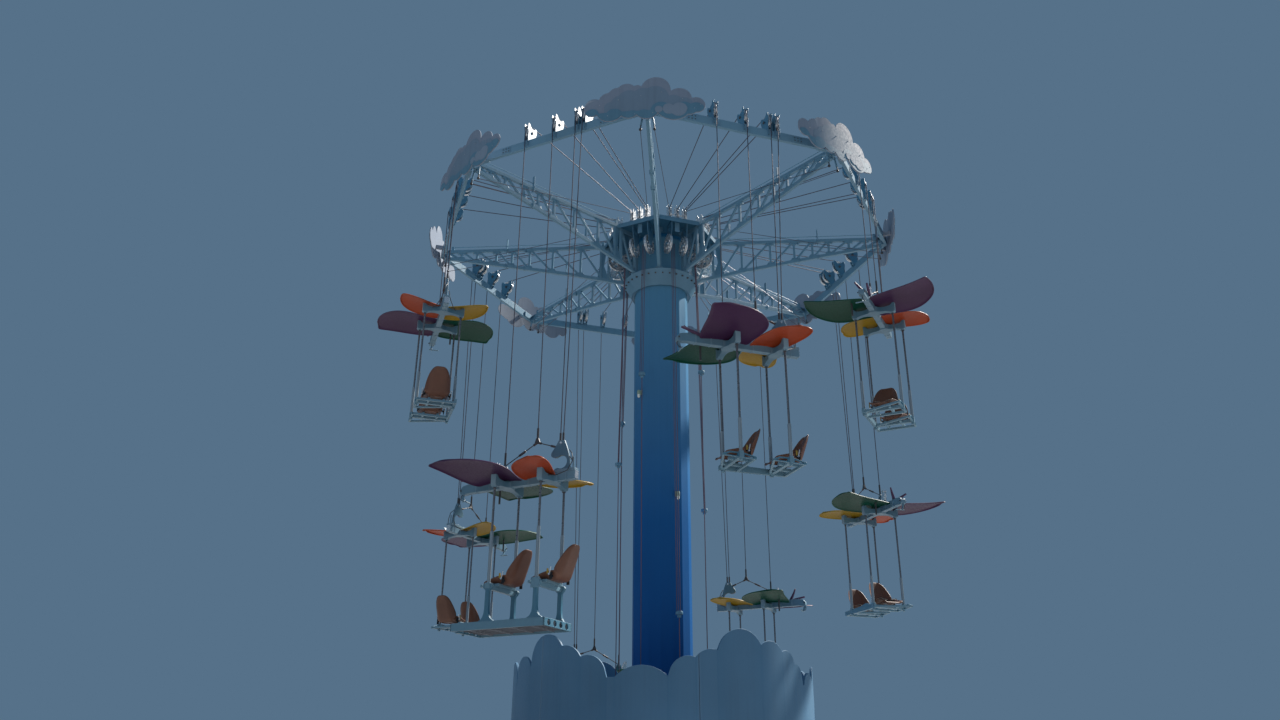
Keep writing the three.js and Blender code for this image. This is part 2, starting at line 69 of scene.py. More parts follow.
for name, kind, energy, stand, colour, reach in (("sun", "SUN", 7.2, (16, 14, 21), (1, .95, .88),
        ("angle", radians(3))), ("front fill", "AREA", 280, (-12, -22, 14), (.85, .92, 1), ("size", 14))):
    lamp, stand = bpy.data.objects.new(name, bpy.data.lights.new(name, kind)), Vector(stand)
    lamp.data.energy, lamp.data.color = energy, colour
    setattr(lamp.data, *reach)
    lamp.matrix_world = Matrix.Translation(stand) @ stand.to_track_quat("Z", "Y").to_matrix().to_4x4()
    scene.collection.objects.link(lamp)
world = bpy.data.worlds.new("sky")
world.use_nodes = True
sky = world.node_tree.nodes["Background"].inputs
sky["Color"].default_value, sky["Strength"].default_value = (.093, .165, .25, 1), 1
scene.world = world


# The base: a round cast plinth, and on it the flanged steel pedestal that carries the slewing ring, welded
# from rolled plate, stiffened by gussets and bolted down.
GRIME = (.02, .022, .024)


def paint(name, slot, colour, highlight_colour, rough=.45, metal=0, patch=.9, fade=.16, streak=.12, grain=140, bump=.12,
        edge_highlight=.5, heights=(), shine=.3):
    """A painted, cast or moulded finish and its slot: patchy, streaked down by rain, and paler along
    its edges as a painted highlight. `heights` gives its colour up the piece, in (height, colour) steps."""
    finish = bpy.data.materials.new(name)
    finish.use_nodes = True
    nodes, links = finish.node_tree.nodes, finish.node_tree.links

    def feed(node, inputs):
        for socket, value in inputs.items():
            if isinstance(value, bpy.types.NodeSocket):
                links.new(value, node.inputs[socket])
            else:
                node.inputs[socket].default_value = value

    def make(kind, output, inputs, **facts):
        node = nodes.new("ShaderNode" + kind)
        for fact, value in facts.items():
            setattr(node, fact, value)
        feed(node, inputs)
        return node.outputs[output]

    def noise(scale, detail, stretch=(1, 1, 1)):
        mapping = make("Mapping", "Vector", {"Vector": where, "Scale": stretch})
        return make("TexNoise", "Fac", {"Vector": mapping, "Scale": scale, "Detail": detail})

    def spread(value, low, high, to_low, to_high):
        return make("MapRange", "Result", dict(enumerate((value, low, high, to_low, to_high))))

    def mix(factor, first, second, how="MIX"):
        return make("Mix", 2, {0: factor, 6: first, 7: second}, data_type="RGBA", blend_type=how)

    where, coat = make("TexCoord", "Object", {}), (*colour, 1)
    if heights:
        ramp, low, high = nodes.new("ShaderNodeValToRGB"), heights[0][0], heights[-1][0]
        feed(ramp, {"Fac": spread(make("SeparateXYZ", "Z", {0: where}), low, high, 0, 1)})
        for i, (height, shade) in enumerate(heights):
            stop = ramp.color_ramp.elements[i] if i < 2 else ramp.color_ramp.elements.new(.5)
            stop.position, stop.color = (height - low) / (high - low), (*shade, 1)
        coat = ramp.outputs["Color"]
    patches = spread(noise(patch, 5), .3, .7, 1 - fade, 1 + fade)
    coat = mix(1, coat, make("CombineColor", "Color", {0: patches, 1: patches, 2: patches}), "MULTIPLY")
    coat = mix(spread(noise(3.5, 6, (5, 5, .25)), .48, .78, 0, streak), coat, (*GRIME, 1))
    # Sharp edges take a paler colour: a painted highlight where the edges catch the light.
    edges = spread(make("NewGeometry", "Pointiness", {}), .515, .6, 0, edge_highlight)
    feed(nodes["Principled BSDF"], {"Base Color": mix(edges, coat, (*highlight_colour, 1)), "Metallic": metal,
        "Specular IOR Level": shine, "Roughness": spread(noise(grain * .15, 4), .3, .7, rough - .09,
        rough + .09), "Normal": make("Bump", "Normal", {"Strength": bump, "Distance": .002,
        "Height": noise(grain, 3)})})
    return finish, slot


def move(x, y, z):
    """A shift of a shape."""
    return Matrix.Translation((x, y, z))


def spun(angle, axis):
    """A turn of a shape, in degrees."""
    return Matrix.Rotation(radians(angle), 4, axis)


def facing(azimuth):
    """A frame at the centre with X outward at an azimuth."""
    return spun(azimuth - 90, "Z")


def around(count, start=0):
    """Such frames, set evenly round the ride."""
    return [facing(start + 360 / count * i) for i in range(count)]


SIDES = around(8, 22.5)


def mirrored(half, middle=0):
    """An outline and its mirror image across a middle line."""
    whole = half + [(2 * middle - x, z) for x, z in half[::-1] if x != middle]
    return whole[-1:] + whole[:-1]


def join(work, part, at=Matrix()):
    """Adds a shape to a piece."""
    ops.recalc_face_normals(part, faces=part.faces[:])
    ops.transform(part, matrix=at, verts=part.verts[:])
    mesh = bpy.data.meshes.new("part")
    part.to_mesh(mesh)
    part.free()
    work.from_mesh(mesh)
    bpy.data.meshes.remove(mesh)


def turned(work, profile, steps, at=Matrix()):
    """A shape turned about Z from a profile of (radius, height)."""
    part = new()
    points = [part.verts.new((radius, 0, height)) for radius, height in profile]
    lines = [part.edges.new(pair) for pair in zip(points, points[1:])]
    ops.spin(part, geom=points + lines, cent=(0, 0, 0), axis=(0, 0, 1), angle=tau, steps=steps,
        use_merge=True)
    ops.remove_doubles(part, verts=part.verts[:], dist=1e-5)
    join(work, part, at)


def band(work, inner, outer, low, high, steps=64, at=Matrix()):
    """A square-edged hoop."""
    turned(work, [(inner, low), (outer, low), (outer, high), (inner, high), (inner, low)], steps, at)


def plate(work, outline, thickness, at=Matrix(), holes=()):
    """A flat plate in the XZ plane, with Y through its thickness."""
    part = new()
    for loop in (outline, *holes):
        corners = [part.verts.new((x, -thickness / 2, z)) for x, z in loop]
        for pair in zip(corners, corners[1:] + corners[:1]):
            part.edges.new(pair)
    ops.triangle_fill(part, use_beauty=True, use_dissolve=False, edges=part.edges[:])
    grown = ops.extrude_face_region(part, geom=part.faces[:])["geom"]
    ops.translate(part, vec=(0, thickness, 0), verts=[item for item in grown if isinstance(item,
        bmesh.types.BMVert)])
    join(work, part, at)


def block(work, low, high, at=Matrix()):
    """A block between two corners."""
    low, high = Vector(low), Vector(high)
    size = Matrix.Diagonal((*(high - low), 1))
    ops.create_cube(work, size=1, matrix=at @ move(*(low + high) / 2) @ size)


def prism(work, sides, radius, low, high):
    """An upright bar of flat faces on the axis."""
    ops.create_cone(work, cap_ends=True, segments=sides, radius1=radius, radius2=radius, depth=high - low,
        matrix=move(0, 0, (low + high) / 2))


def tube(work, start, end, radius, sides=12, at=Matrix()):
    """A round bar between two points."""
    start, end = Vector(start), Vector(end)
    turn = (end - start).to_track_quat("Z", "Y").to_matrix().to_4x4()
    ops.create_cone(work, cap_ends=True, segments=sides, radius1=radius, radius2=radius,
        depth=(end - start).length, matrix=at @ move(*(start + end) / 2) @ turn)


def place(work, name, coat, stands_for=(), body="rotor", at=Matrix(), edge=0, fold=50, smooth=40):
    """Makes a piece of the ride from a shape, on the body that carries it."""
    finish, slot = coat
    shape = work.copy()
    ops.transform(shape, matrix=at, verts=shape.verts[:])
    mesh = bpy.data.meshes.new(name)
    shape.to_mesh(mesh)
    shape.free()
    mesh.materials.append(finish)
    mesh.shade_smooth()
    piece = bpy.data.objects.new(name, mesh)
    scene.collection.objects.link(piece)
    if edge:
        bevel = piece.modifiers.new("edges", "BEVEL")
        bevel.width, bevel.segments, bevel.limit_method = edge, 2, "ANGLE"
        bevel.angle_limit, bevel.harden_normals = radians(fold), True
    else:
        mesh.set_sharp_from_angle(angle=radians(smooth))
    if body:
        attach(piece, body)
    if stands_for:
        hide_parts(*stands_for)
    return piece


def place_all(kit, frames, body="rotor", **facts):
    """Places and numbers a kit of (shape, name, coat) or (shape, name, coat, node, edge) in each frame."""
    return [place(work, f"{name}_{i}", coat, [f"{node}_{i}" for node in more[:1]], body.format(i), at,
        *more[1:], **facts) for i, at in enumerate(frames, 1) for work, name, coat, *more in kit]


PLINTH_R, PLINTH_TOP, PLINTH_FLOOR = 2.622, .12, .095
cast_grey = paint("cast plinth", "plinth_grey", (.3, .31, .32), (.42, .42, .42), rough=.85, grain=60, bump=.5,
    patch=2.2, fade=.22)
plinth = new()
turned(plinth, [(0, 0), (PLINTH_R, 0), (PLINTH_R, PLINTH_TOP), (PLINTH_R - .1, PLINTH_TOP), (PLINTH_R - .1,
    PLINTH_FLOOR), (.95, PLINTH_FLOOR), (.95, PLINTH_TOP), (0, PLINTH_TOP)], 96)
place(plinth, "plinth", cast_grey, ["base_frame"], "base", edge=.008)

steel_blue = paint("steel blue coat", "steel_blue", (.05, .175, .285), (.32, .48, .58), rough=.4)
bolt_grey = paint("bolt zinc", "bright_steel", (.25, .27, .29), (.6, .62, .64), rough=.35, metal=.8)
pedestal = new()
turned(pedestal, [(0, PLINTH_TOP), (.86, PLINTH_TOP), (.86, .16), (.7, .16), (.7, .64), (.86, .64),
    (.86, .71), (.84, .72), (0, .72)], 64)
for at in around(16, 11.25):
    plate(pedestal, [(.69, .155), (.85, .155), (.85, .18), (.72, .34), (.72, .5), (.85, .62), (.85, .645),
        (.69, .645)], .016, at)
place(pedestal, "pedestal", steel_blue, ["base_frame"], "base", edge=.004)
anchors = new()
for at in around(32, 5.6):
    for low, high, radius, sides in ((.158, .164, .026, 12), (.162, .186, .018, 6), (.18, .205, .009, 8)):
        tube(anchors, (.8, 0, low), (.8, 0, high), radius, sides, at)
    tube(anchors, (.862, 0, .675), (.872, 0, .675), .013, 6, at)
place(anchors, "anchor_bolts", bolt_grey, body="base")


# The wall round the base: six curved panels of painted sheet, cut along the top in cloud lobes that are
# the same on both halves. Posts and rolled rails behind hold them.
WALL_R, WALL_T, WALL_STEPS = 2.62, .04, 120
WALL_FIRST, WALL_SPAN, WALL_LOW = -45, 60, 3.08
SEAM = degrees(.003 / WALL_R)
WALL_LOBES = [(-73, 3.19, .3), (-59, 3.2, .32), (-43, 3.37, .43), (-33.5, 3.25, .345), (-24, 3.1, .325),
    (-4.5, 2.65, .6), (11.5, 3.08, .31), (19.5, 3.19, .31), (31, 3.4, .43), (44, 3.36, .33),
    (52.5, 3.33, .245), (58.5, 3.14, .25), (72, 2.98, .32), (85, 3.12, .34), (97, 3, .32)]


def highest(along, lobes, low):
    """The height of the topmost lobe over a place along a board."""
    return max([low] + [height + sqrt(radius ** 2 - (along - centre) ** 2) for centre, height, radius in lobes
        if abs(along - centre) < radius])


ARC = radians(WALL_R)
lobes = [((centre + turn) * ARC, height, radius) for centre, height, radius in WALL_LOBES for turn in (-360,
    -180, 0, 180, 360)]
wall_blue = paint("wall sheet", "wall_blue", (.066, .182, .31), (.45, .56, .66), rough=.6, patch=.7, fade=.1,
    streak=.1, grain=220, bump=.05, edge_highlight=.3)
for i in range(6):
    panel = new()
    foot, head = (panel.verts.new((WALL_R, 0, z)) for z in (PLINTH_TOP + .0005, 1))
    edge = panel.edges.new((foot, head))
    ops.spin(panel, geom=[foot, head, edge], cent=(0, 0, 0), axis=(0, 0, 1),
        angle=radians(WALL_SPAN - 2 * SEAM), steps=WALL_STEPS, use_merge=False)
    ops.transform(panel, matrix=facing(WALL_FIRST + WALL_SPAN * i + SEAM), verts=panel.verts[:])
    for vert in panel.verts:
        if vert.co.z > .5:
            azimuth = degrees(atan2(vert.co.x, -vert.co.y))
            vert.co.z = highest(azimuth * ARC, lobes, WALL_LOW)
    ops.recalc_face_normals(panel, faces=panel.faces[:])
    if panel.faces[0].normal.dot(panel.faces[0].calc_center_median()) < 0:
        ops.reverse_faces(panel, faces=panel.faces[:])
    ops.solidify(panel, geom=panel.faces[:], thickness=WALL_T)
    place(panel, f"wall_panel_{i + 1}", wall_blue, [f"fascia_{i + 1}"], "base", edge=.006, fold=60)

wall_posts = new()
for i in range(24):
    azimuth = WALL_FIRST + 15 * i + (1.2 if i % 4 == 0 else 0)
    at = facing(azimuth)
    block(wall_posts, (2.5, -.03, PLINTH_FLOOR), (2.585, .03, highest(azimuth * ARC, lobes, WALL_LOW) - .22),
        at)
    block(wall_posts, (2.42, -.07, PLINTH_FLOOR), (2.59, .07, PLINTH_FLOOR + .02), at)
    if i % 2 == 0:
        plate(wall_posts, [(2.12, .1), (2.16, .1), (2.51, 1.55), (2.51, 1.65), (2.49, 1.65)], .04, at)
for height in (.85, 1.75, 2.65):
    band(wall_posts, 2.5, 2.584, height, height + .05, 96)
place(wall_posts, "wall_posts", steel_blue, body="base", edge=.003)


# The turntable on the slewing ring: an eight-sided welded table with a ribbed rim, and a rope winch to
# each side, a grooved drum between cheek plates with its motor.
TABLE_R, TABLE_LOW, TABLE_HIGH = 1.35, .7205, .9005
RIB_LOW, RIB_HIGH, WINCH_N, WINCH_FOOT = .735, .875, .96, .9
table = new()
prism(table, 8, TABLE_R, TABLE_HIGH - .03, TABLE_HIGH)
prism(table, 8, TABLE_R - .02, TABLE_HIGH - .175, TABLE_HIGH - .025)
prism(table, 8, TABLE_R, TABLE_LOW, TABLE_LOW + .02)
for at in around(8):
    plate(table, [(TABLE_R - .06, RIB_LOW), (TABLE_R - .003, RIB_LOW), (TABLE_R - .003, RIB_HIGH),
        (TABLE_R - .06, RIB_HIGH)], .02, at)
for at in SIDES:
    for t in (-.3, 0, .3):
        block(table, (1.2, t - .008, RIB_LOW), (1.245, t + .008, RIB_HIGH), at)
place(table, "table", steel_blue, ["turntable"], edge=.004, fold=40)

bright = paint("bright steel", "bright_steel", (.62, .64, .66), (.85, .86, .88), rough=.28, metal=.75,
    fade=.1)
black = paint("black fittings", "fitting_black", (.018, .019, .022), (.12, .12, .13), rough=.42, fade=.3)
winches, drums, motors = new(), new(), new()
cradle = mirrored([(1.095, WINCH_FOOT), (1.095, .96), (1.06, 1.2), (1, 1.3)], WINCH_N)
grooves = [(.105 + (.012 if i % 2 else 0), -.12 + .012 * i) for i in range(21)]
for at in SIDES:
    for t in (-.19, .19):
        plate(winches, cradle, .018, at @ move(0, t, 0))
    block(winches, (.825, -.21, WINCH_FOOT), (1.095, .21, WINCH_FOOT + .025), at)
    turn = at @ move(WINCH_N, 0, 1.13) @ spun(90, "X")
    turned(drums, [(0, -.175), (.13, -.175), (.13, -.135), (.1, -.135), *grooves, (.1, .135), (.13, .135),
        (.13, .175), (0, .175)], 24, turn)
    turned(motors, [(0, .195), (.055, .195), (.055, .21), (0, .21)], 16, turn)
    tube(motors, (.865, -.16, .99), (.865, .16, .99), .035, 14, at)
place(winches, "winch_cradles", steel_blue, ["turntable"], edge=.003)
place(drums, "winch_drums", bright, smooth=25)
place(motors, "winch_motors", black)


# The column: steel plate folded to sixteen faces, painted from teal at the top to deep blue at the foot.
# Its foot flange is bolted to the table.
COLUMN_R, COLUMN_FOOT, COLUMN_TOP = .545, .9008, 12.07
column_blue = paint("column coat", "column_blue", (.05, .2, .4), (.16, .34, .5), rough=.5, fade=.07, patch=.5,
    streak=.06, edge_highlight=.25, shine=.05, heights=[(1, (.002, .066, .26)), (3.5, (.002, .08, .29)),
    (6, (.003, .095, .31)), (9, (.012, .15, .34)), (12, (.12, .31, .45))])
mast, mast_foot = new(), new()
prism(mast, 16, COLUMN_R, COLUMN_FOOT, COLUMN_TOP)
place(mast, "mast", column_blue, ["column"], edge=.012, fold=15)
turned(mast_foot, [(.5, .9), (.68, .9), (.68, .93), (.56, .94), (.5, .94)], 64)
for at in around(16, 11.25):
    plate(mast_foot, [(.52, .92), (.67, .92), (.67, .94), (.55, 1.12), (.52, 1.12)], .012, at)
for at in around(16):
    tube(mast_foot, (.62, 0, .925), (.62, 0, .955), .018, 6, at)
place(mast_foot, "mast_foot", steel_blue)

# Small lamps on brackets on the column, a cast housing with a white bulb glass below.
lamp_green = paint("lamp housing", "fitting_black", (.2, .3, .24), (.4, .5, .42), rough=.5)
glass_white = paint("lamp glass", "bright_steel", (.78, .78, .72), (.9, .9, .85), rough=.2, fade=.04)
lamps, bulbs = new(), new()
for azimuth, height in ((-43.6, 8.51), (32.7, 6.45), (136.4, 8.51), (212.7, 6.45)):
    at = facing(azimuth) @ move(COLUMN_R - .01, 0, height)
    block(lamps, (0, -.03, .02), (.014, .03, .12), at)
    tube(lamps, (0, 0, .07), (.06, 0, .07), .012, 10, at)
    at = at @ move(.07, 0, 0)
    turned(lamps, [(0, .1), (.028, .1), (.034, .08), (.034, .02), (.03, .015), (0, .015)], 16, at)
    turned(bulbs, [(0, .02), (.026, .02), (.027, -.02), (.02, -.045), (0, -.055)], 16, at)
place(lamps, "lamp_housings", lamp_green)
place(bulbs, "lamp_glasses", glass_white)


# The hub: an eight-sided deck with a turned-down rim, eight posts down to a conical collar bolted on the
# column, and plates that hang from the deck beside the inner rope wheels.
DECK_R, DECK_LOW, DECK_TOP, POST_TOP = 1.2, 12.02, 12.12, 12.075
INNER_N, INNER_Z, INNER_T = .9, 11.6, (-.165, .165)
deck = new()
prism(deck, 8, DECK_R, DECK_LOW, DECK_TOP)
under = [face for face in deck.faces if face.normal.z < -.9]
ops.inset_region(deck, faces=under, thickness=.03, use_even_offset=True)
ops.translate(deck, vec=(0, 0, .05), verts=under[0].verts[:])
for at in around(8):
    block(deck, (.66, -.04, 11.12), (.74, .04, POST_TOP), at)
    block(deck, (.62, -.07, 11.14), (.78, .07, 11.155), at)
    block(deck, (.62, -.07, 12.055), (.78, .07, 12.072), at)
    block(deck, (.74, -.006, 11.98), (1.18, .006, POST_TOP), at)
for at in SIDES:
    for t in INNER_T:
        plate(deck, [(.78, POST_TOP), (1.05, POST_TOP), (1.05, 11.9), (.96, 11.56), (.88, 11.56),
            (.78, 11.8)], .012, at @ move(0, t + .034, 0), holes=[[(.88, 11.88), (.95, 11.88), (.95, 11.98),
            (.88, 11.98)]])
        tube(deck, (INNER_N, t - .05, INNER_Z), (INNER_N, t + .05, INNER_Z), .03, 16, at)
    block(deck, (.985, -.05, 11.86), (.997, .05, POST_TOP), at)
turned(deck, [(0, 12.11), (.45, 12.11), (.45, 12.17), (.4, 12.19), (.12, 12.19), (.12, 12.3), (.09, 12.32),
    (0, 12.32)], 48)
place(deck, "hub_deck", steel_blue, ["hub"], edge=.004, fold=40)

collar = new()
ops.create_cone(collar, cap_ends=False, segments=16, radius1=.59, radius2=.755, depth=.3, matrix=move(0, 0,
    10.99))
ops.recalc_face_normals(collar, faces=collar.faces[:])
ops.solidify(collar, geom=collar.faces[:], thickness=.03)
band(collar, .548, .76, 11.11, 11.14)
band(collar, .548, .6, 10.84, 10.87)
for at in around(16, 11.25):
    plate(collar, [(.545, 10.86), (.6, 10.86), (.735, 11.12), (.545, 11.12)], .012, at)
place(collar, "collar", steel_blue, ["hub"], edge=.003)
hub_bolts = new()
for at in around(32, 5.6):
    tube(hub_bolts, (0, 0, -.02), (0, 0, .04), .018, 6, at @ move(.712, 0, 11.05) @ spun(119, "Y"))
for i, at in enumerate(around(64, 2.8)):
    reach = DECK_R * cos(pi / 8) / cos(radians((5.625 * i + 2.8) % 45 - 22.5)) - .05
    tube(hub_bolts, (reach, 0, DECK_TOP - .005), (reach, 0, DECK_TOP + .014), .013, 6, at)
place(hub_bolts, "hub_bolts", black)


# Rope wheels: cast webs with round lightening holes between a hub and a grooved rim. Three stand on the
# deck to each side and two hang below it, and four stand on each side of the ring.
def ring(radius, count, centre=(0, 0)):
    """The points of a circle."""
    return [(centre[0] + radius * cos(tau * i / count), centre[1] + radius * sin(tau * i / count))
        for i in range(count)]


def wheel(radius, width, hole, count):
    """A rope wheel in the XZ plane round its own middle."""
    work = new()
    plate(work, ring(radius * .84, 28), width * .35, holes=[ring(hole, 12, centre) for centre in ring(
        radius * .52, count)])
    half = width / 2
    turned(work, [(radius * .82, -half * .6), (radius * .9, -half * .8), (radius, -half),
        (radius, -half * .6), (radius - .012, 0), (radius, half * .6), (radius, half),
        (radius * .9, half * .8), (radius * .82, half * .6), (radius * .82, -half * .6)], 28, spun(90, "X"))
    turned(work, [(0, -half), (radius * .2, -half), (radius * .22, 0), (radius * .2, half), (0, half)], 16,
        spun(90, "X"))
    return work


WHEEL_R, WHEEL_N, WHEEL_Z, WHEEL_T = .15, 4.27, 12.31, (-.57, 0, .46, .6)
DECK_WHEEL_R, DECK_WHEEL_N, DECK_WHEEL_Z = .12, .975, 12.255
ring_wheel, deck_wheel = wheel(WHEEL_R, .05, .024, 6), wheel(DECK_WHEEL_R, .034, .019, 5)
inner_wheel = wheel(.205, .045, .034, 5)
horns = mirrored([(1.05, 12.11), (1.035, 12.28), (1.045, 12.4), (1.035, 12.46), (1.015, 12.47), (1, 12.42),
    (DECK_WHEEL_N, 12.385)], DECK_WHEEL_N)
wheels, stands = new(), new()
for at in SIDES:
    for t in WHEEL_T:
        join(wheels, ring_wheel.copy(), at @ move(WHEEL_N, t, WHEEL_Z))
    for t in (-.165, 0, .165):
        join(wheels, deck_wheel.copy(), at @ move(DECK_WHEEL_N, t, DECK_WHEEL_Z))
        for shift in (-.03, .03):
            plate(stands, horns, .008, at @ move(0, t + shift, 0))
    tube(stands, (DECK_WHEEL_N, -.21, DECK_WHEEL_Z), (DECK_WHEEL_N, .21, DECK_WHEEL_Z), .014, 12, at)
    block(stands, (.86, -.24, DECK_TOP - .002), (1.09, .24, DECK_TOP + .01), at)
    for t in INNER_T:
        join(wheels, inner_wheel.copy(), at @ move(INNER_N, t, INNER_Z))
place(wheels, "rope_wheels", bright, smooth=35)
place(stands, "wheel_stands", bright, ["hub"], edge=.002)


# The lines down the column: ropes from the inner wheels through flat rope collectors and a guide ring on
# the column over the winches.
rope_steel = paint("steel rope", "rope_steel", (.105, .098, .122), (.2, .2, .22), metal=.6, grain=420,
    bump=.5, edge_highlight=0)
rope_red = paint("sheathed rope", "rope_steel", (.145, .095, .13), (.24, .18, .22), rough=.6, grain=420,
    bump=.5, edge_highlight=0)
LINE_N, LINE_LOW, LINE_HIGH, GUIDE_Z = .87, 1.3, 11.7, 1.9
lines, collectors, guide = new(), new(), new()
band(guide, .547, .955, GUIDE_Z, GUIDE_Z + .03)
for at, height in zip(SIDES, (4.3, 9, 6.4, 7.41, 5.2, 8.2, 7.14, 8.8)):
    for t in (-.045, -.015, .02):
        tube(lines, (LINE_N, t, height), (LINE_N - .09, t, LINE_HIGH), .006, 8, at)
    tube(lines, (LINE_N, 0, LINE_LOW), (LINE_N, 0, height), .008, 8, at)
    turned(collectors, [(0, -.03), (.06, -.03), (.065, -.022), (.065, .022), (.06, .03), (0, .03)], 20,
        at @ move(LINE_N, 0, height))
    block(collectors, (LINE_N - .02, -.03, height - .075), (LINE_N + .02, .03, height - .02), at)
    band(guide, .018, .05, -.02, .05, 20, at @ move(LINE_N, 0, GUIDE_Z))
for at in around(8):
    plate(guide, [(.54, 1.7), (.57, 1.7), (.9, 1.88), (.9, 1.905), (.54, 1.905)], .014, at)
place(lines, "down_lines", rope_red, ["down_ropes"])
place(collectors, "rope_collectors", steel_blue, edge=.002)
place(guide, "guide_ring", steel_blue, ["down_ropes"], edge=.003)


# A lattice arm: two square chords, welded uprights and diagonals, node plates, and a stay rod above. A
# web plate stiffens its root at the hub, and its outer end carries a corner of the ring.
BOTTOM = [(.7403, 11.19), (1.75, 11.41), (3.12, 11.66), (4.56, 11.915)]
UPRIGHTS = (1.225, 1.7, 2.3, 2.8, 3.18, 3.52, 3.94, 4.275, 4.6)
TOP_Z, STAY_Z = 12.07, 12.18


def bar(work, start, end, width, height):
    """A square bar between two points of the arm's plane."""
    start, end = Vector(start), Vector(end)
    along = (end - start).normalized()
    side = along.cross((0, 0, 1))
    side = side.normalized() if side.length > .01 else Vector((0, 1, 0))
    turn = Matrix((side, along.cross(side), along)).transposed().to_4x4()
    size = Matrix.Diagonal((width, height, (end - start).length, 1))
    ops.create_cube(work, size=1, matrix=move(*(start + end) / 2) @ turn @ size)


def bottom_z(r):
    """The height of the bottom chord at a distance from the axis."""
    for (r0, z0), (r1, z1) in zip(BOTTOM, BOTTOM[1:]):
        if r <= r1:
            break
    return z0 + (z1 - z0) * (r - r0) / (r1 - r0)


arm = new()
for (r0, z0), (r1, z1) in zip(BOTTOM, BOTTOM[1:]):
    bar(arm, (r0, 0, z0), (r1 + .01, 0, z1), .06, .07)
bar(arm, (1.18, 0, TOP_Z), (4.725, 0, TOP_Z), .06, .07)
block(arm, (4.53, -.03, 11.93), (4.725, .03, 12.1))
for inner, outer in zip(UPRIGHTS, UPRIGHTS[1:]):
    bar(arm, (outer, 0, bottom_z(outer)), (outer, 0, TOP_Z), .045, .045)
    bar(arm, (inner, 0, bottom_z(inner)), (outer - .01, 0, TOP_Z), .04, .04)
for r in UPRIGHTS[1:-1]:
    for z in (bottom_z(r) + .045, TOP_Z - .045):
        plate(arm, [(r - .09, z - .03), (r + .09, z - .03), (r + .05, z + .03), (r - .05, z + .03)], .05)
plate(arm, [(1.08, 11.27), (1.36, 11.34), (1.33, 11.38), (1.23, 12.06), (1.14, 12.06), (1.2, 11.62)], .014)
bar(arm, (1.27, 0, bottom_z(1.27)), (1.27, 0, TOP_Z), .045, .045)
bar(arm, (1.1, 0, 11.28), (1.1, 0, 12.06), .05, .05)
bar(arm, (.8, 0, 11.23), (1.08, 0, 12), .04, .04)
for r in (1.2, 4.45):
    block(arm, (r, -.015, 12.08), (r + .06, .015, 12.198))
tube(arm, (1.25, 0, STAY_Z), (4.46, 0, STAY_Z), .009, 10)
block(arm, (3.29, -.03, 12.08), (3.31, .03, 12.34))
block(arm, (1.99, -.03, bottom_z(2)), (2.01, .03, bottom_z(2) + .24))
for r in (2.9, 3.3):
    block(arm, (r - .01, -.045, 11.99), (r + .01, .045, 12.115))
    block(arm, (r - .01, -.045, bottom_z(r) - .05), (r + .01, .045, bottom_z(r) + .05))
place_all([(arm, "arm", steel_blue, "truss", .004)], around(8, 45))


# A side of the ring: a square beam between two arms, with a bolted joint plate at each end and four
# two-horned wheel housings astride it.
HALF_SIDE = radians(22.5)
BEAM_OUT, BEAM_IN = 4.7 * cos(HALF_SIDE) + .03, 4.7 * cos(HALF_SIDE) - .03
BEAM_Z, BEAM_H = 11.94, .16
side_beam, ring_bolts = new(), new()
reach_in, reach_out = (n * tan(HALF_SIDE) - .0303 / cos(HALF_SIDE) for n in (BEAM_IN, BEAM_OUT))
plate(side_beam, [(BEAM_IN, -reach_in), (BEAM_OUT, -reach_out), (BEAM_OUT, reach_out), (BEAM_IN, reach_in)],
    BEAM_H, move(0, 0, BEAM_Z + BEAM_H / 2) @ spun(-90, "X"))
for turn in (-1, 1):
    block(side_beam, (BEAM_IN - .03, turn * 1.52 - .11, BEAM_Z + .01), (BEAM_IN, turn * 1.52 + .11, TOP_Z))
    block(side_beam, (BEAM_OUT, turn - .09, BEAM_Z + .02), (BEAM_OUT + .008, turn + .09, 12.08))
housing = [(4.376, 11.975), (4.396, 11.985), (4.404, 12.16), (4.398, 12.26), (4.416, 12.36), (4.412, 12.44),
    (4.394, 12.46), (4.356, 12.452), (4.336, 12.42), (4.3, 12.4), (4.24, 12.4), (4.204, 12.42),
    (4.186, 12.452), (4.15, 12.46), (4.13, 12.44), (4.132, 12.36), (4.17, 12.25), (4.24, 12.17),
    (4.27, 12.09), (4.29, 12.05), (4.376, 12.05)]
for t in WHEEL_T:
    for shift in (-.039, .039):
        plate(side_beam, housing, .009, move(0, t + shift, 0))
    tube(side_beam, (WHEEL_N, t - .055, WHEEL_Z), (WHEEL_N, t + .055, WHEEL_Z), .02, 14)
    block(side_beam, (BEAM_OUT, t - .05, 11.96), (BEAM_OUT + .01, t + .05, 12.1))
    block(side_beam, (4.26, t - .044, 12.098), (BEAM_OUT + .01, t + .044, 12.108))
place_all([(side_beam, "ring_side", steel_blue, "ring_beam", .003)], SIDES)
for at in SIDES:
    for t in WHEEL_T:
        for dt in (-.03, .03):
            for z in (11.99, 12.06):
                tube(ring_bolts, (BEAM_OUT + .008, t + dt, z), (BEAM_OUT + .02, t + dt, z), .009, 6, at)
        for end in (t - .058, t + .058):
            tube(ring_bolts, (WHEEL_N, end - .006, WHEEL_Z), (WHEEL_N, end + .006, WHEEL_Z), .028, 6, at)
    for turn in (-1, 1):
        for dt in (-.06, 0, .06):
            for z in (11.985, 12.045):
                tube(ring_bolts, (BEAM_OUT, turn + dt, z), (BEAM_OUT + .018, turn + dt, z), .01, 6, at)
place(ring_bolts, "ring_bolts", black)


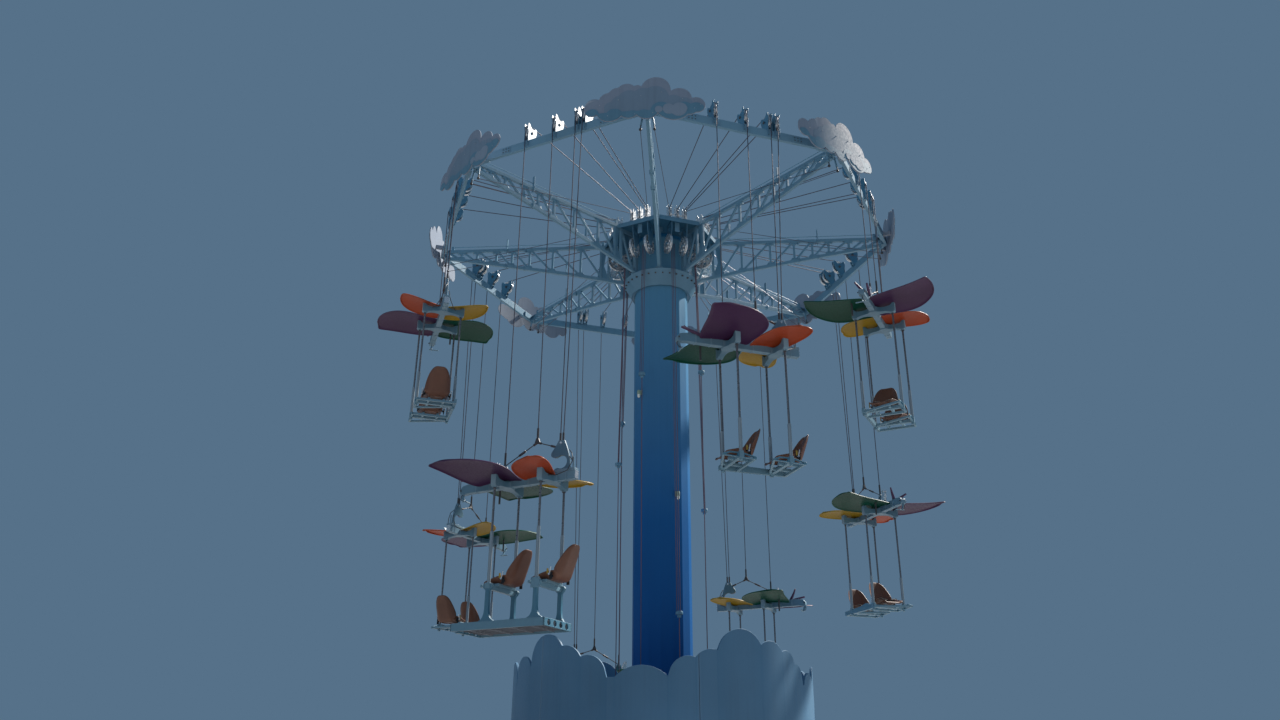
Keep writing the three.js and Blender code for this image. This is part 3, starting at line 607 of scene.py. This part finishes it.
# Cloud boards, bowed across the corners of the ring on stub brackets: a grey board with a darker middle, a
# teal layer along its foot, and a small pale cloud on that.
BOARD_N, BOARD_BOW, OUTLINE_STEPS = 4.76, .06, 150
TOP_LOBES = [(-.9, 12.07, .155), (-.64, 12.15, .18), (-.5, 12.26, .16), (-.345, 12.315, .175),
    (-.16, 12.37, .08), (.15, 12.35, .25), (.55, 12.16, .205), (.83, 12.035, .145)]
FOOT_LOBES = [(-.92, 12.01, .14), (-.62, 11.98, .24), (-.3, 11.95, .17), (0, 11.95, .2), (.45, 12.03, .31),
    (.7, 12.02, .19), (.83, 12.02, .145)]
MIDDLE_LOBES = [(-.6, 12, .13), (-.45, 12.1, .15), (-.3, 12.16, .19), (-.05, 12.16, .22), (.14, 12.18, .23),
    (.45, 12.05, .17), (.63, 12.02, .15)]
TEAL_LOBES = [(-.93, 11.9, .12), (-.55, 11.83, .155), (-.24, 11.8, .13), (-.05, 11.8, .135), (.24, 11.9, .18),
    (.62, 11.9, .18), (.83, 11.93, .14)]


def split(work, point, normal):
    """Cuts the faces of a shape along a plane."""
    ops.bisect_plane(work, geom=work.verts[:] + work.edges[:] + work.faces[:], dist=1e-5, plane_co=point,
        plane_no=normal)


def cloud_layer(top, low_top, front, thickness, reach, foot=FOOT_LOBES, foot_high=11.99, trim=0):
    """A board cut round its lobes, then bowed across the corner."""
    places = [reach[0] + (reach[1] - reach[0]) * i / OUTLINE_STEPS for i in range(OUTLINE_STEPS + 1)]
    upside_down = [(centre, -height, radius - trim) for centre, height, radius in foot]
    upper = [(s, highest(s, top, low_top)) for s in places]
    lower = [(s, -highest(s, upside_down, -foot_high)) for s in places]
    work = new()
    plate(work, upper + [point for point, high in zip(lower, upper) if high[1] - point[1] > .004][::-1],
        thickness, move(0, front - thickness / 2, 0))
    for i in range(-10, 10):
        split(work, (.1 * i + .05, 0, 0), (1, 0, 0))
    for vert in work.verts:
        s, off, z = vert.co
        vert.co = (BOARD_N + off - BOARD_BOW * s ** 2, s, z)
    return work


cloud_grey, cloud_slate, cloud_teal, cloud_pale = (paint(f"cloud board {name}", slot, colour, highlight_colour,
    rough=rough, fade=fade, grain=200, bump=.06, edge_highlight=edge_highlight) for name, slot, colour, highlight_colour, rough, fade,
    edge_highlight in (("grey", "cloud_grey", (.225, .272, .35), (.5, .55, .6), .6, .08, .35), ("slate", "cloud_grey",
    (.176, .25, .332), (.4, .45, .5), .6, .08, .5), ("teal", "cloud_teal", (.11, .235, .33), (.35, .48, .52),
    .55, .08, .5), ("pale", "cloud_grey", (.225, .29, .37), (.5, .55, .6), .6, .06, .5)))
board = cloud_layer(TOP_LOBES, 12.06, .018, .018, (-1.06, .98))
for turn in (-1, 1):
    t, at = turn * (BEAM_OUT * tan(HALF_SIDE) - .3), spun(-turn * 22.5, "Z")
    block(board, (BEAM_OUT, t - .025, 11.98), (BEAM_OUT + .152, t + .025, 12.06), at)
    block(board, (BEAM_OUT, t - .05, 11.965), (BEAM_OUT + .008, t + .05, 12.075), at)
middle = cloud_layer(MIDDLE_LOBES, 11.96, .0215, .004, (-.72, .77), foot_high=11.98, trim=.03)
foot_layer = cloud_layer(TEAL_LOBES, 11.915, .0255, .0045, (-1.045, .975), trim=.004)
small = cloud_layer([(.2, 11.93, .065), (.36, 11.95, .09), (.55, 11.93, .13)], 11.9, .03, .0045, (.135, .68),
    [(.2, 11.92, .06), (.37, 11.93, .1), (.53, 11.93, .14)], 11.93)
studs = new()
for at in around(8, 45):
    for s, z in ((-.8, 12.08), (-.48, 12.16), (-.1, 12.22), (.25, 12.28), (.6, 12.14), (.9, 12.03),
            (-.66, 11.85), (-.2, 11.85), (.1, 11.86), (.8, 11.95)):
        n = BOARD_N - BOARD_BOW * s ** 2
        tube(studs, (n + .012, s, z), (n + .0285, s, z), .008, 8, at)
place(studs, "cloud_studs", (cloud_grey[0], "bright_steel"))
place_all([(board, "cloud_board", cloud_grey, "cloud", .002), (middle, "cloud_middle", cloud_slate),
    (foot_layer, "cloud_foot", cloud_teal), (small, "cloud_small", cloud_pale)], around(8, 45))


# The hoist ropes: 16 mm steel ropes from the deck over the ring wheels down to each gondola, and thin stay
# rods from the deck to each corner.
ROPE_R = .008
HANG_N = WHEEL_N + WHEEL_R + ROPE_R + .001
GONDOLA_Z = (7.82, 9.38, 6.6, 5.2, 3.7, 6.3, 9.72, 5.75)
LUG_X, LUG_TOP, APEX, FIN_TOP, FIN_ROPES = .57, .3, .62, .56, (-.405, -.455)
CROWN = WHEEL_Z + WHEEL_R + ROPE_R
runs = new()
for at in SIDES:
    for t, deck_t in zip(WHEEL_T, (-.165, 0, .15, .185)):
        tube(runs, (DECK_WHEEL_N, deck_t, DECK_WHEEL_Z + DECK_WHEEL_R + ROPE_R), (WHEEL_N, t, CROWN - .001),
            ROPE_R, 8, at)
        bend = new()
        hoop = ops.create_circle(bend, cap_ends=False, segments=8, radius=ROPE_R, matrix=move(WHEEL_N, t,
            CROWN) @ spun(90, "Y"))["verts"]
        ops.spin(bend, geom=hoop + bend.edges[:], cent=(WHEEL_N, t, WHEEL_Z), axis=(0, 1, 0), angle=pi / 2,
            steps=8)
        ops.holes_fill(bend, edges=bend.edges[:], sides=8)
        join(runs, bend, at)
place(runs, "rope_runs", rope_steel)
stays, stay_tubes, stay_ends = new(), new(), new()
for at in around(8):
    for turn in (-1, 1):
        tube(stays, (.96, turn * .22, 12.37), (4.58, turn * .12, 11.67), .0055, 8, at)
        tube(stay_tubes, (4.56, turn * .085, 11.95), (4.58, turn * .112, 11.76), .017, 14, at)
        block(stay_tubes, (4.53, turn * .06 - .045, 11.93), (4.59, turn * .06 + .045, 11.945), at)
        tube(stay_ends, (4.58, turn * .112, 11.765), (4.584, turn * .118, 11.7), .011, 10, at)
        ops.create_uvsphere(stay_ends, u_segments=14, v_segments=8, radius=.026, matrix=at @ move(4.585,
            turn * .12, 11.675))
place(stays, "stay_rods", rope_steel)
place(stay_tubes, "stay_tubes", steel_blue, edge=.002)
place(stay_ends, "stay_ends", black)

GONDOLAS = [at @ move(HANG_N, 0, height) @ spun(-90, "Z") for at, height in zip(SIDES, GONDOLA_Z)]
for number, (at, height) in enumerate(zip(GONDOLAS, GONDOLA_Z), 1):
    falls, top = new(), WHEEL_Z - height
    feet = (LUG_X, LUG_TOP + .03), (0, APEX), *((x, FIN_TOP + .02) for x in FIN_ROPES)
    for t, (x, z) in zip(WHEEL_T, feet):
        tube(falls, (x, 0, z), (-t, 0, top), ROPE_R, 8)
    piece = place(falls, f"rope_falls_{number}", rope_steel, [f"ropes_{number}"], None, at)
    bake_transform(piece)


# The canopy of a gondola: a box spine with a drooping nose and a hanging bracket, two cast arms that thin
# out and turn up to points over the rods, a rope lug over the front arm, and a hooked tail fin.
canopy_grey = paint("canopy coat", "canopy_grey", (.075, .172, .245), (.36, .48, .56), rough=.42, fade=.1)
ROD_X, ROD_Y = (.5, -.3), .33
RODS = [(x, y) for x in ROD_X for y in (-ROD_Y, ROD_Y)]
ARM_STATIONS = [(.055, .1, -.085, .02), (.09, .072, -.085, .012), (.13, .056, -.085, .004), (.2, .048, -.088,
    0), (.26, .046, -.1, .004), (.3, .046, -.118, .012), (.34, .046, -.12, .05), (.365, .046, -.12, .095),
    (.385, .044, -.1, .135)]


def casting(work, x):
    """A cast arm drawn both ways from the spine, from (distance, half width, low, high) stations."""
    part = new()
    ops.create_cube(part, size=1, matrix=Matrix.Diagonal((1, 2 * ARM_STATIONS[-1][0], 1, 1)))
    for distance, *_ in ARM_STATIONS[:-1]:
        for side in (-1, 1):
            split(part, (0, side * distance, 0), (0, 1, 0))
    for vert in part.verts:
        _, half, low, high = min(ARM_STATIONS, key=lambda station: abs(station[0] - abs(vert.co.y)))
        vert.co.x, vert.co.z = copysign(half, vert.co.x), high if vert.co.z > 0 else low
    join(work, part, move(x, 0, 0))


def cable(work, points, radius, sides=8, tip=None, at=Matrix()):
    """A cable bent from point to point, and tapered to a radius at its tip."""
    part = new()
    points = [Vector(point) for point in points]
    steps = [(after - before).normalized() for before, after in zip(points, points[1:])]
    turn = steps[0].to_track_quat("Z", "Y").to_matrix().to_4x4()
    ops.create_circle(part, cap_ends=False, segments=sides, radius=radius, matrix=move(*points[0]) @ turn)
    edges, size = part.edges[:], radius
    for i in range(1, len(points)):
        grown = ops.extrude_edge_only(part, edges=edges)["geom"]
        hoop = [item for item in grown if isinstance(item, bmesh.types.BMVert)]
        edges = [item for item in grown if isinstance(item, bmesh.types.BMEdge) and all(vert in hoop
            for vert in item.verts)]
        before = (steps[max(i - 2, 0)] + steps[i - 1]).normalized()
        after = (steps[i - 1] + steps[min(i, len(steps) - 1)]).normalized()
        narrower = radius + ((radius if tip is None else tip) - radius) * i / len(steps)
        ops.transform(part, verts=hoop, matrix=move(*points[i]) @ before.rotation_difference(
            after).to_matrix().to_4x4() @ Matrix.Scale(narrower / size, 4) @ move(*-points[i - 1]))
        size = narrower
    ops.holes_fill(part, edges=part.edges[:], sides=sides)
    join(work, part, at)


spine = new()
plate(spine, [(-.7, -.07), (1.2, -.07), (1.3, -.085), (1.35, -.07), (1.35, 0), (1.3, .05), (1.2, .07),
    (-.7, .07)], .1)
for x, width in ((.5, .11), (-.3, .11), (.1, .02), (.8, .02), (1.05, .02), (-.55, .02)):
    block(spine, (x - width / 2, -.056, -.076), (x + width / 2, .056, .076))
for x in ROD_X:
    casting(spine, x)
for x, y in RODS:
    tube(spine, (x, y, -.135), (x, y, 0), .036, 16)
plate(spine, mirrored([(.69, .05), (.655, .14), (.62, .27), (.6, .295), (LUG_X, .305)], LUG_X), .03,
    holes=[ring(.022, 12, (LUG_X, .262))])
throat = [(-.44 + .1 * cos(turn), .222 + .1 * sin(turn)) for turn in (radians(-56 - 256 * i / 13)
    for i in range(14))]
plate(spine, [(-.29, .05), (-.31, .1), (-.335, .125), *throat, (-.335, .298), (-.3, .305), (-.27, .322),
    (-.258, .35), (-.262, .38), (-.29, .42), (-.33, .47), (-.36, .52), (-.375, FIN_TOP), (-.485, FIN_TOP),
    (-.51, .5), (-.54, .42), (-.565, .337), (-.585, .2), (-.6, .05)], .036)
block(spine, (-.7, -.06, .06), (-.2, .06, .1))
tube(spine, (-.645, 0, .09), (-.645, 0, .28), .013)
plate(spine, [(1.3, -.07), (1.35, -.07), (1.35, -.1), (1.31, -.17), (1.33, -.19), (1.24, -.185),
    (1.27, -.16)], .014)
tube(spine, (1.27, -.13, -.18), (1.27, .05, -.18), .011, 10)

# Its black fittings: rod nuts, hinge bolts, the bar under the inner wing, cable loops at nose and tail,
# the clevis of the rope bridle and the sleeves on its legs.
fittings = new()
for x, y in RODS:
    tube(fittings, (x, y, 0), (x, y, .02), .024, 6)
    tube(fittings, (x, y, -.15), (x, y, -.13), .026, 6)
    for dx in (-.035, .035):
        tube(fittings, (x + dx, copysign(.05356, y), 0), (x + dx, copysign(.065, y), 0), .011, 6)
cable(fittings, [(1.33, 0, -.06), (1.345, .01, -.11), (1.33, .02, -.16), (1.28, .03, -.18)], .006)
tube(fittings, (1.325, -.07, -.02), (1.325, .07, -.02), .012, 10)
tube(fittings, (.84, -.3, -.2), (.84, -.3, .045), .016, 10)
cable(fittings, [(-.565, 0, .4), (-.63, .03, .33), (-.655, .05, .2), (-.6, .1, .05), (-.45, .16, -.02),
    (-.33, .22, -.02)], .007)
cable(fittings, [(-.57, 0, .3), (-.62, -.04, .22), (-.6, -.08, .06), (-.45, -.16, -.01), (-.33, -.22, -.02)],
    .007)
tube(fittings, (0, 0, APEX + .02), (0, 0, APEX + .2), .018)
plate(fittings, mirrored([(0, APEX - .02), (.035, APEX - .055), (.045, APEX - .03), (.018, APEX + .04)]), .03)
apex = Vector((0, 0, APEX - .03))
for leg, sleeves in (((LUG_X, 0, .29), ((0, .12), (.36, .56))), ((-.34, 0, .47), ((0, .2), (.72, 1)))):
    tube(fittings, apex, leg, .008, 8)
    for first, last in sleeves:
        tube(fittings, apex.lerp(Vector(leg), first), apex.lerp(Vector(leg), last), .018)
for x in FIN_ROPES:
    tube(fittings, (x, 0, FIN_TOP - .005), (x, 0, FIN_TOP + .12), .017, 10)
tube(fittings, (LUG_X, 0, LUG_TOP), (LUG_X, 0, LUG_TOP + .2), .017, 10)

# Bright parts: the pins in the lug and the fin, and the bracket plates beside the lug.
brights = new()
for y in (-.03, .03):
    plate(brights, [(.6, .06), (.72, .06), (.745, .3), (.74, .36), (.7, .36), (.64, .22)], .006,
        move(0, y, 0))
for x, z, half, radius in ((LUG_X, .262, .04, .02), (-.43, .52, .032, .018), (.7, .33, .045, .014)):
    tube(brights, (x, -half, z), (x, half, z), radius)
block(brights, (-.708, -.045, -.06), (-.699, .045, .06))
place_all([(spine, "spine", canopy_grey, "canopy", .005), (fittings, "canopy_fittings", black),
    (brights, "canopy_brights", bright)], GONDOLAS, "gondola_{}")


# Four wings, moulded shells bolted to the spine: a broad front pair and a narrower rear pair that rise a
# little to their tips. Each is given as its rear edge, front edge, rise and lip.
FRONT_WING = ([(.19, .04), (.19, .2), (.155, .35), (.125, .5), (.12, .64), (.16, .78), (.25, .9), (.38, 1.01),
    (.54, 1.09), (.72, 1.125), (.9, 1.125)], [(1, .04), (1.04, .18), (1.07, .32), (1.09, .46), (1.105, .6),
    (1.12, .72), (1.14, .83), (1.165, .93), (1.19, 1.02), (1.194, 1.058), (1.165, 1.082)], .085, .02)
REAR_WING = ([(-.38, .04), (-.41, .12), (-.45, .22), (-.49, .32), (-.53, .42), (-.565, .52), (-.585, .61),
    (-.59, .69), (-.58, .75), (-.55, .79), (-.48, .81)], [(.17, .04), (.17, .16), (.16, .28), (.14, .38),
    (.11, .48), (.07, .57), (.02, .645), (-.05, .71), (-.13, .76), (-.23, .795), (-.34, .81)], .095, .018)


def sheet(rows):
    """A sheet ten strips wide, with the place across and the row of its points."""
    work = new()
    ops.create_grid(work, x_segments=10, y_segments=rows, size=.5)
    return work, [(vert, vert.co.x + .5, round((vert.co.y + .5) * rows)) for vert in work.verts]


def wing(rear_edge, front_edge, rise, lip, side):
    """A shell between its two long edges, crowned across and rising to the tip, with its rim turned down."""
    work, points = sheet(len(rear_edge) - 1)
    for vert, across, row in points:
        x, y = Vector(rear_edge[row]).lerp(Vector(front_edge[row]), across)
        out = y / 1.1
        crown = .035 * sin(pi * across) * (1 - .5 * out)
        vert.co = (x, side * y, .02 + rise * out ** 1.6 + crown)
    ops.recalc_face_normals(work, faces=work.faces[:])
    if sum(face.normal.z for face in work.faces) < 0:
        ops.reverse_faces(work, faces=work.faces[:])
    ops.inset_region(work, faces=work.faces[:], thickness=.022, use_boundary=True, use_even_offset=True)
    for vert in work.verts:
        if vert.is_boundary:
            vert.co.z -= lip
    return work


def thicken(piece, thickness):
    """Gives a moulded sheet its thickness, and rounds it."""
    skin = piece.modifiers.new("skin", "SOLIDIFY")
    skin.thickness, skin.offset = thickness, 0
    rounding = piece.modifiers.new("rounding", "SUBSURF")
    rounding.levels = rounding.render_levels = 1


# The second colour of each wing is the painted highlight along its rim.
coats = {}
for name, colour, highlight_colour, fade, shape, side in (("purple", (.056, .02, .062), (.32, .24, .33), .14, FRONT_WING,
        1), ("green", (.001, .05, .028), (.03, .22, .14), .14, FRONT_WING, -1), ("orange", (.345, .052, .017),
        (.62, .3, .18), .12, REAR_WING, 1), ("yellow", (.33, .195, .012), (.6, .5, .24), .12, REAR_WING, -1)):
    coats[name] = paint(f"wing {name}", f"wing_{name}", colour, highlight_colour, rough=.42, patch=1.5, fade=fade,
        grain=260, bump=.05, edge_highlight=.2, shine=.1)
    for piece in place_all([(wing(*shape, side), f"wing_{name}", coats[name])], GONDOLAS, "gondola_{}",
            smooth=180):
        thicken(piece, .016)

# Two tapered feelers at the nose, moulded like the front wings and pointing forward.
feelers = new()
cable(feelers, [(1, .03, .07), (1.06, -.03, .13), (1.12, -.09, .2), (1.17, -.14, .27)], .034, 10, .014)
cable(feelers, [(.98, .06, .06), (1.15, .08, .1), (1.3, .1, .13)], .028, 10, .018)
place_all([(feelers, "feelers", coats["purple"])], GONDOLAS, "gondola_{}")


# The seats: four steel rods from the canopy, sleeved at the foot, a flat welded frame under each seat and a
# rail along the inner side. Gondola 8 stands its seats on a ribbed platform instead.
frame_blue = paint("seat frame coat", "frame_blue", (.058, .175, .26), (.36, .5, .57), rough=.4, fade=.1)
rod_dark = paint("rod steel", "rope_steel", (.07, .075, .085), (.3, .3, .32), rough=.32, metal=.7)
sleeve_grey = paint("sleeve steel", "bright_steel", (.125, .19, .24), (.4, .46, .5), rough=.4, metal=.3)
JOINT_Z, SHELF_JOINT_Z = -1.9, -1.6
hanging = new()
plate(hanging, [(-.545, -.03), (.57, -.03), (.57, .04), (.42, .05), (.25, .1), (.06, .065), (-.545, .05)],
    .05, move(0, -ROD_Y, 0))
for x in ROD_X:
    block(hanging, (x - .03, -.35, -.02), (x + .03, .35, .04))
    block(hanging, (x - .24, -.33, -.035), (x - .2, .33, .005))
    plate(hanging, [(-.24, -.035), (.04, -.025), (.29, -.015), (.29, .015), (.18, .055), (-.04, .05),
        (-.24, .005)], .036, move(x, ROD_Y, 0), holes=[[(.06, -.006), (.24, 0), (.17, .034), (.06, .036)],
        [(-.2, -.018), (-.05, -.01), (-.05, .026), (-.19, 0)]])
    bar(hanging, (x + .272, .315, 0), (x + .03, -.33, 0), .036, .036)
    for y in (-.13, .13):
        block(hanging, (x - .22, y - .02, -.01), (x + .12, y + .02, .035))
for x, y in RODS:
    block(hanging, (x - .034, y - .03, -.03), (x + .034, y + .03, .075))
    tube(hanging, (x, y, -.06), (x, y, -.02), .026, 14)

# The platform: a blue edge beam round grey planks on ribs, with holed end plates, and on it the posts of
# the two seats, flared at the foot and forked at the head.
plank_grey = paint("plank coat", "canopy_grey", (.07, .072, .09), (.4, .42, .46), rough=.6, patch=2.5,
    fade=.25)
REAR_END, FRONT_END, SIDE, TOP, FOOT = -.48, 1.08, .375, -.48, -.59
shelf, planks = new(), new()
for y in (-SIDE, SIDE - .03):
    block(shelf, (REAR_END, y, FOOT), (FRONT_END, y + .03, TOP))
low, high = FOOT + SHELF_JOINT_Z, TOP + SHELF_JOINT_Z
for x in (REAR_END + .01, FRONT_END - .01):
    plate(shelf, [(-SIDE, low), (SIDE, low), (SIDE, high), (-SIDE, high)], .02,
          move(x, 0, -SHELF_JOINT_Z) @ spun(90, "Z"),
          holes=[ring(.043, 20, (y, (low + high) / 2)) for y in (-.24, -.08, .08, .24)])
for i in range(6):
    y = -.345 + .115 * i
    block(planks, (REAR_END + .02, y + .003, TOP - .035), (FRONT_END - .02, y + .112, TOP - .004))
for y in (-.29, -.17, -.06, .06, .17, .29):
    block(planks, (REAR_END + .02, y - .012, TOP - .085), (FRONT_END - .02, y + .012, TOP - .03))
for x in (-.2, .15, .5, .85):
    block(planks, (x - .02, -.345, TOP - .095), (x + .02, .345, TOP - .03))
post = [(-.125, TOP - .005), (.125, TOP - .005), (.12, TOP + .01), (.075, TOP + .035), (.045, TOP + .09),
    (.034, TOP + .16), (.032, -.05), (.075, -.01), (.075, .05), (-.07, .05), (-.085, .02), (-.07, -.01),
    (-.032, -.05), (-.034, TOP + .16), (-.045, TOP + .09), (-.075, TOP + .035), (-.12, TOP + .01)]
for x, y in RODS:
    plate(shelf, post, .05, move(x, y, 0))
    block(shelf, (x - .04, y - .035, -.02), (x + .04, y + .035, .06))
for x in ROD_X:
    for x0, z0, half in ((x, 0, .03), (x + .11, .02, .02)):
        block(shelf, (x0 - half, -.35, z0 - half), (x0 + half, .35, z0 + half))
    block(shelf, (x - .1, -.215, .028), (x + .15, .215, .066))
x = min(ROD_X)
block(shelf, (x - .07, ROD_Y + .024, -.07), (x + .07, ROD_Y + .036, .075))
for dx, z in ((-.05, -.05), (.05, -.05), (-.05, .055), (.05, .055)):
    tube(shelf, (x + dx, ROD_Y + .03, z), (x + dx, ROD_Y + .046, z), .011, 8)

# Each seat is one moulded brown shell, turned up at its sides and round at the top, with its lap belt, a
# lever on each side and a yellow pull tag at each end of the belt.
SHELL = [(.19, .045, .185, .02), (.18, .078, .2, .03), (.12, .085, .21, .04), (.02, .078, .22, .07),
    (-.08, .068, .225, .11), (-.17, .06, .228, .12), (-.235, .065, .23, .12), (-.272, .1, .23, .12),
    (-.298, .16, .23, .11), (-.328, .24, .226, .1), (-.36, .32, .214, .08), (-.393, .4, .194, .06),
    (-.422, .475, .164, .045), (-.442, .525, .126, .03), (-.455, .552, .078, .02)]
seat_brown = paint("seat shell", "seat_brown", (.165, .072, .046), (.36, .22, .16), rough=.4, patch=3,
    fade=.18, grain=260, bump=.15, edge_highlight=.15)
belt_black = paint("belt webbing", "belt_black", (.022, .022, .025), (.05, .05, .05), rough=.85, grain=500,
    bump=.8, edge_highlight=0)


def bucket():
    """One seat shell, its sides turned up along the pan and forward along the back. SHELL gives its rows, as
    (forward, height, half width, depth of the sides)."""
    work, points = sheet(len(SHELL) - 1)
    for vert, across, row in points:
        side, (forward, height, half, depth) = 2 * across - 1, SHELL[row]
        curl = depth * max(0, abs(side) - .7) / .3
        back = min(1, max(0, (height - .06) / .12)) if forward < -.2 else 0
        vert.co = (forward + curl * back, side * half, height + curl * (1 - back))
    return work


shells, straps, handles, pulls = (new() for _ in range(4))
for at in (move(x, 0, 0) for x in ROD_X):
    join(shells, bucket(), at)
    block(straps, (0, -.035, .105), (.06, .035, .133), at)
    for side in (-1, 1):
        cable(straps, [(-.2, side * .225, .085), (-.13, side * .2, .15), (-.02, side * .14, .165),
            (.02, side * .06, .135), (.03, side * .012, .115)], .014, 6, at=at)
        block(straps, (-.2, side * .24 - .007, .05), (-.155, side * .24 + .007, .15), at)
        tube(handles, (-.16, side * .255, .12), (-.185, side * .26, .22), .007, 10, at)
        tube(handles, (-.16, side * .235, .12), (-.16, side * .27, .12), .014, 12, at)
        block(pulls, (-.145, side * .258 - .005, .13), (-.12, side * .258 + .005, .2), at)


def rods(low, high, radius):
    """The same round bar on the lines of all four rods."""
    work = new()
    for x, y in RODS:
        tube(work, (x, y, low), (x, y, high), radius, 16)
    return work


seats = [at @ move(0, 0, JOINT_Z) for at in GONDOLAS[:-1]]
seats.append(GONDOLAS[-1] @ move(0, 0, SHELF_JOINT_Z))
for number, at in enumerate(seats, 1):
    body = f"gondola_{number}"
    under, reach, sleeve = (shelf, 1.5, .8) if number == 8 else (hanging, 1.8, .58)
    place(under, f"seat_frame_{number}", frame_blue, [f"seats_{number}"], body, at, .004)
    place(rods(0, reach, .017), f"rods_{number}", rod_dark, (), body, at)
    place(rods(.03, sleeve, .027), f"sleeves_{number}", sleeve_grey, (), body, at)
place(planks, "platform_planks", plank_grey, (), "gondola_8", seats[-1], .003)
for piece in place_all([(shells, "seat_shells", seat_brown)], seats, "gondola_{}", smooth=180):
    thicken(piece, .014)
place_all([(straps, "belts", belt_black), (handles, "levers", bright), (pulls, "belt_tags", coats["yellow"])],
    seats, "gondola_{}")


# The floor: plain and pale.
floor_work, floor_mesh = new(), bpy.data.meshes.new("floor")
ops.create_grid(floor_work, x_segments=1, y_segments=1, size=60)
floor_work.to_mesh(floor_mesh)
floor = bpy.data.objects.new("floor", floor_mesh)
scene.collection.objects.link(floor)
floor_finish = bpy.data.materials.new("floor")
floor_finish.use_nodes = True
look = floor_finish.node_tree.nodes["Principled BSDF"].inputs
look["Base Color"].default_value, look["Roughness"].default_value = (.33, .34, .35, 1), .8
floor_mesh.materials.append(floor_finish)
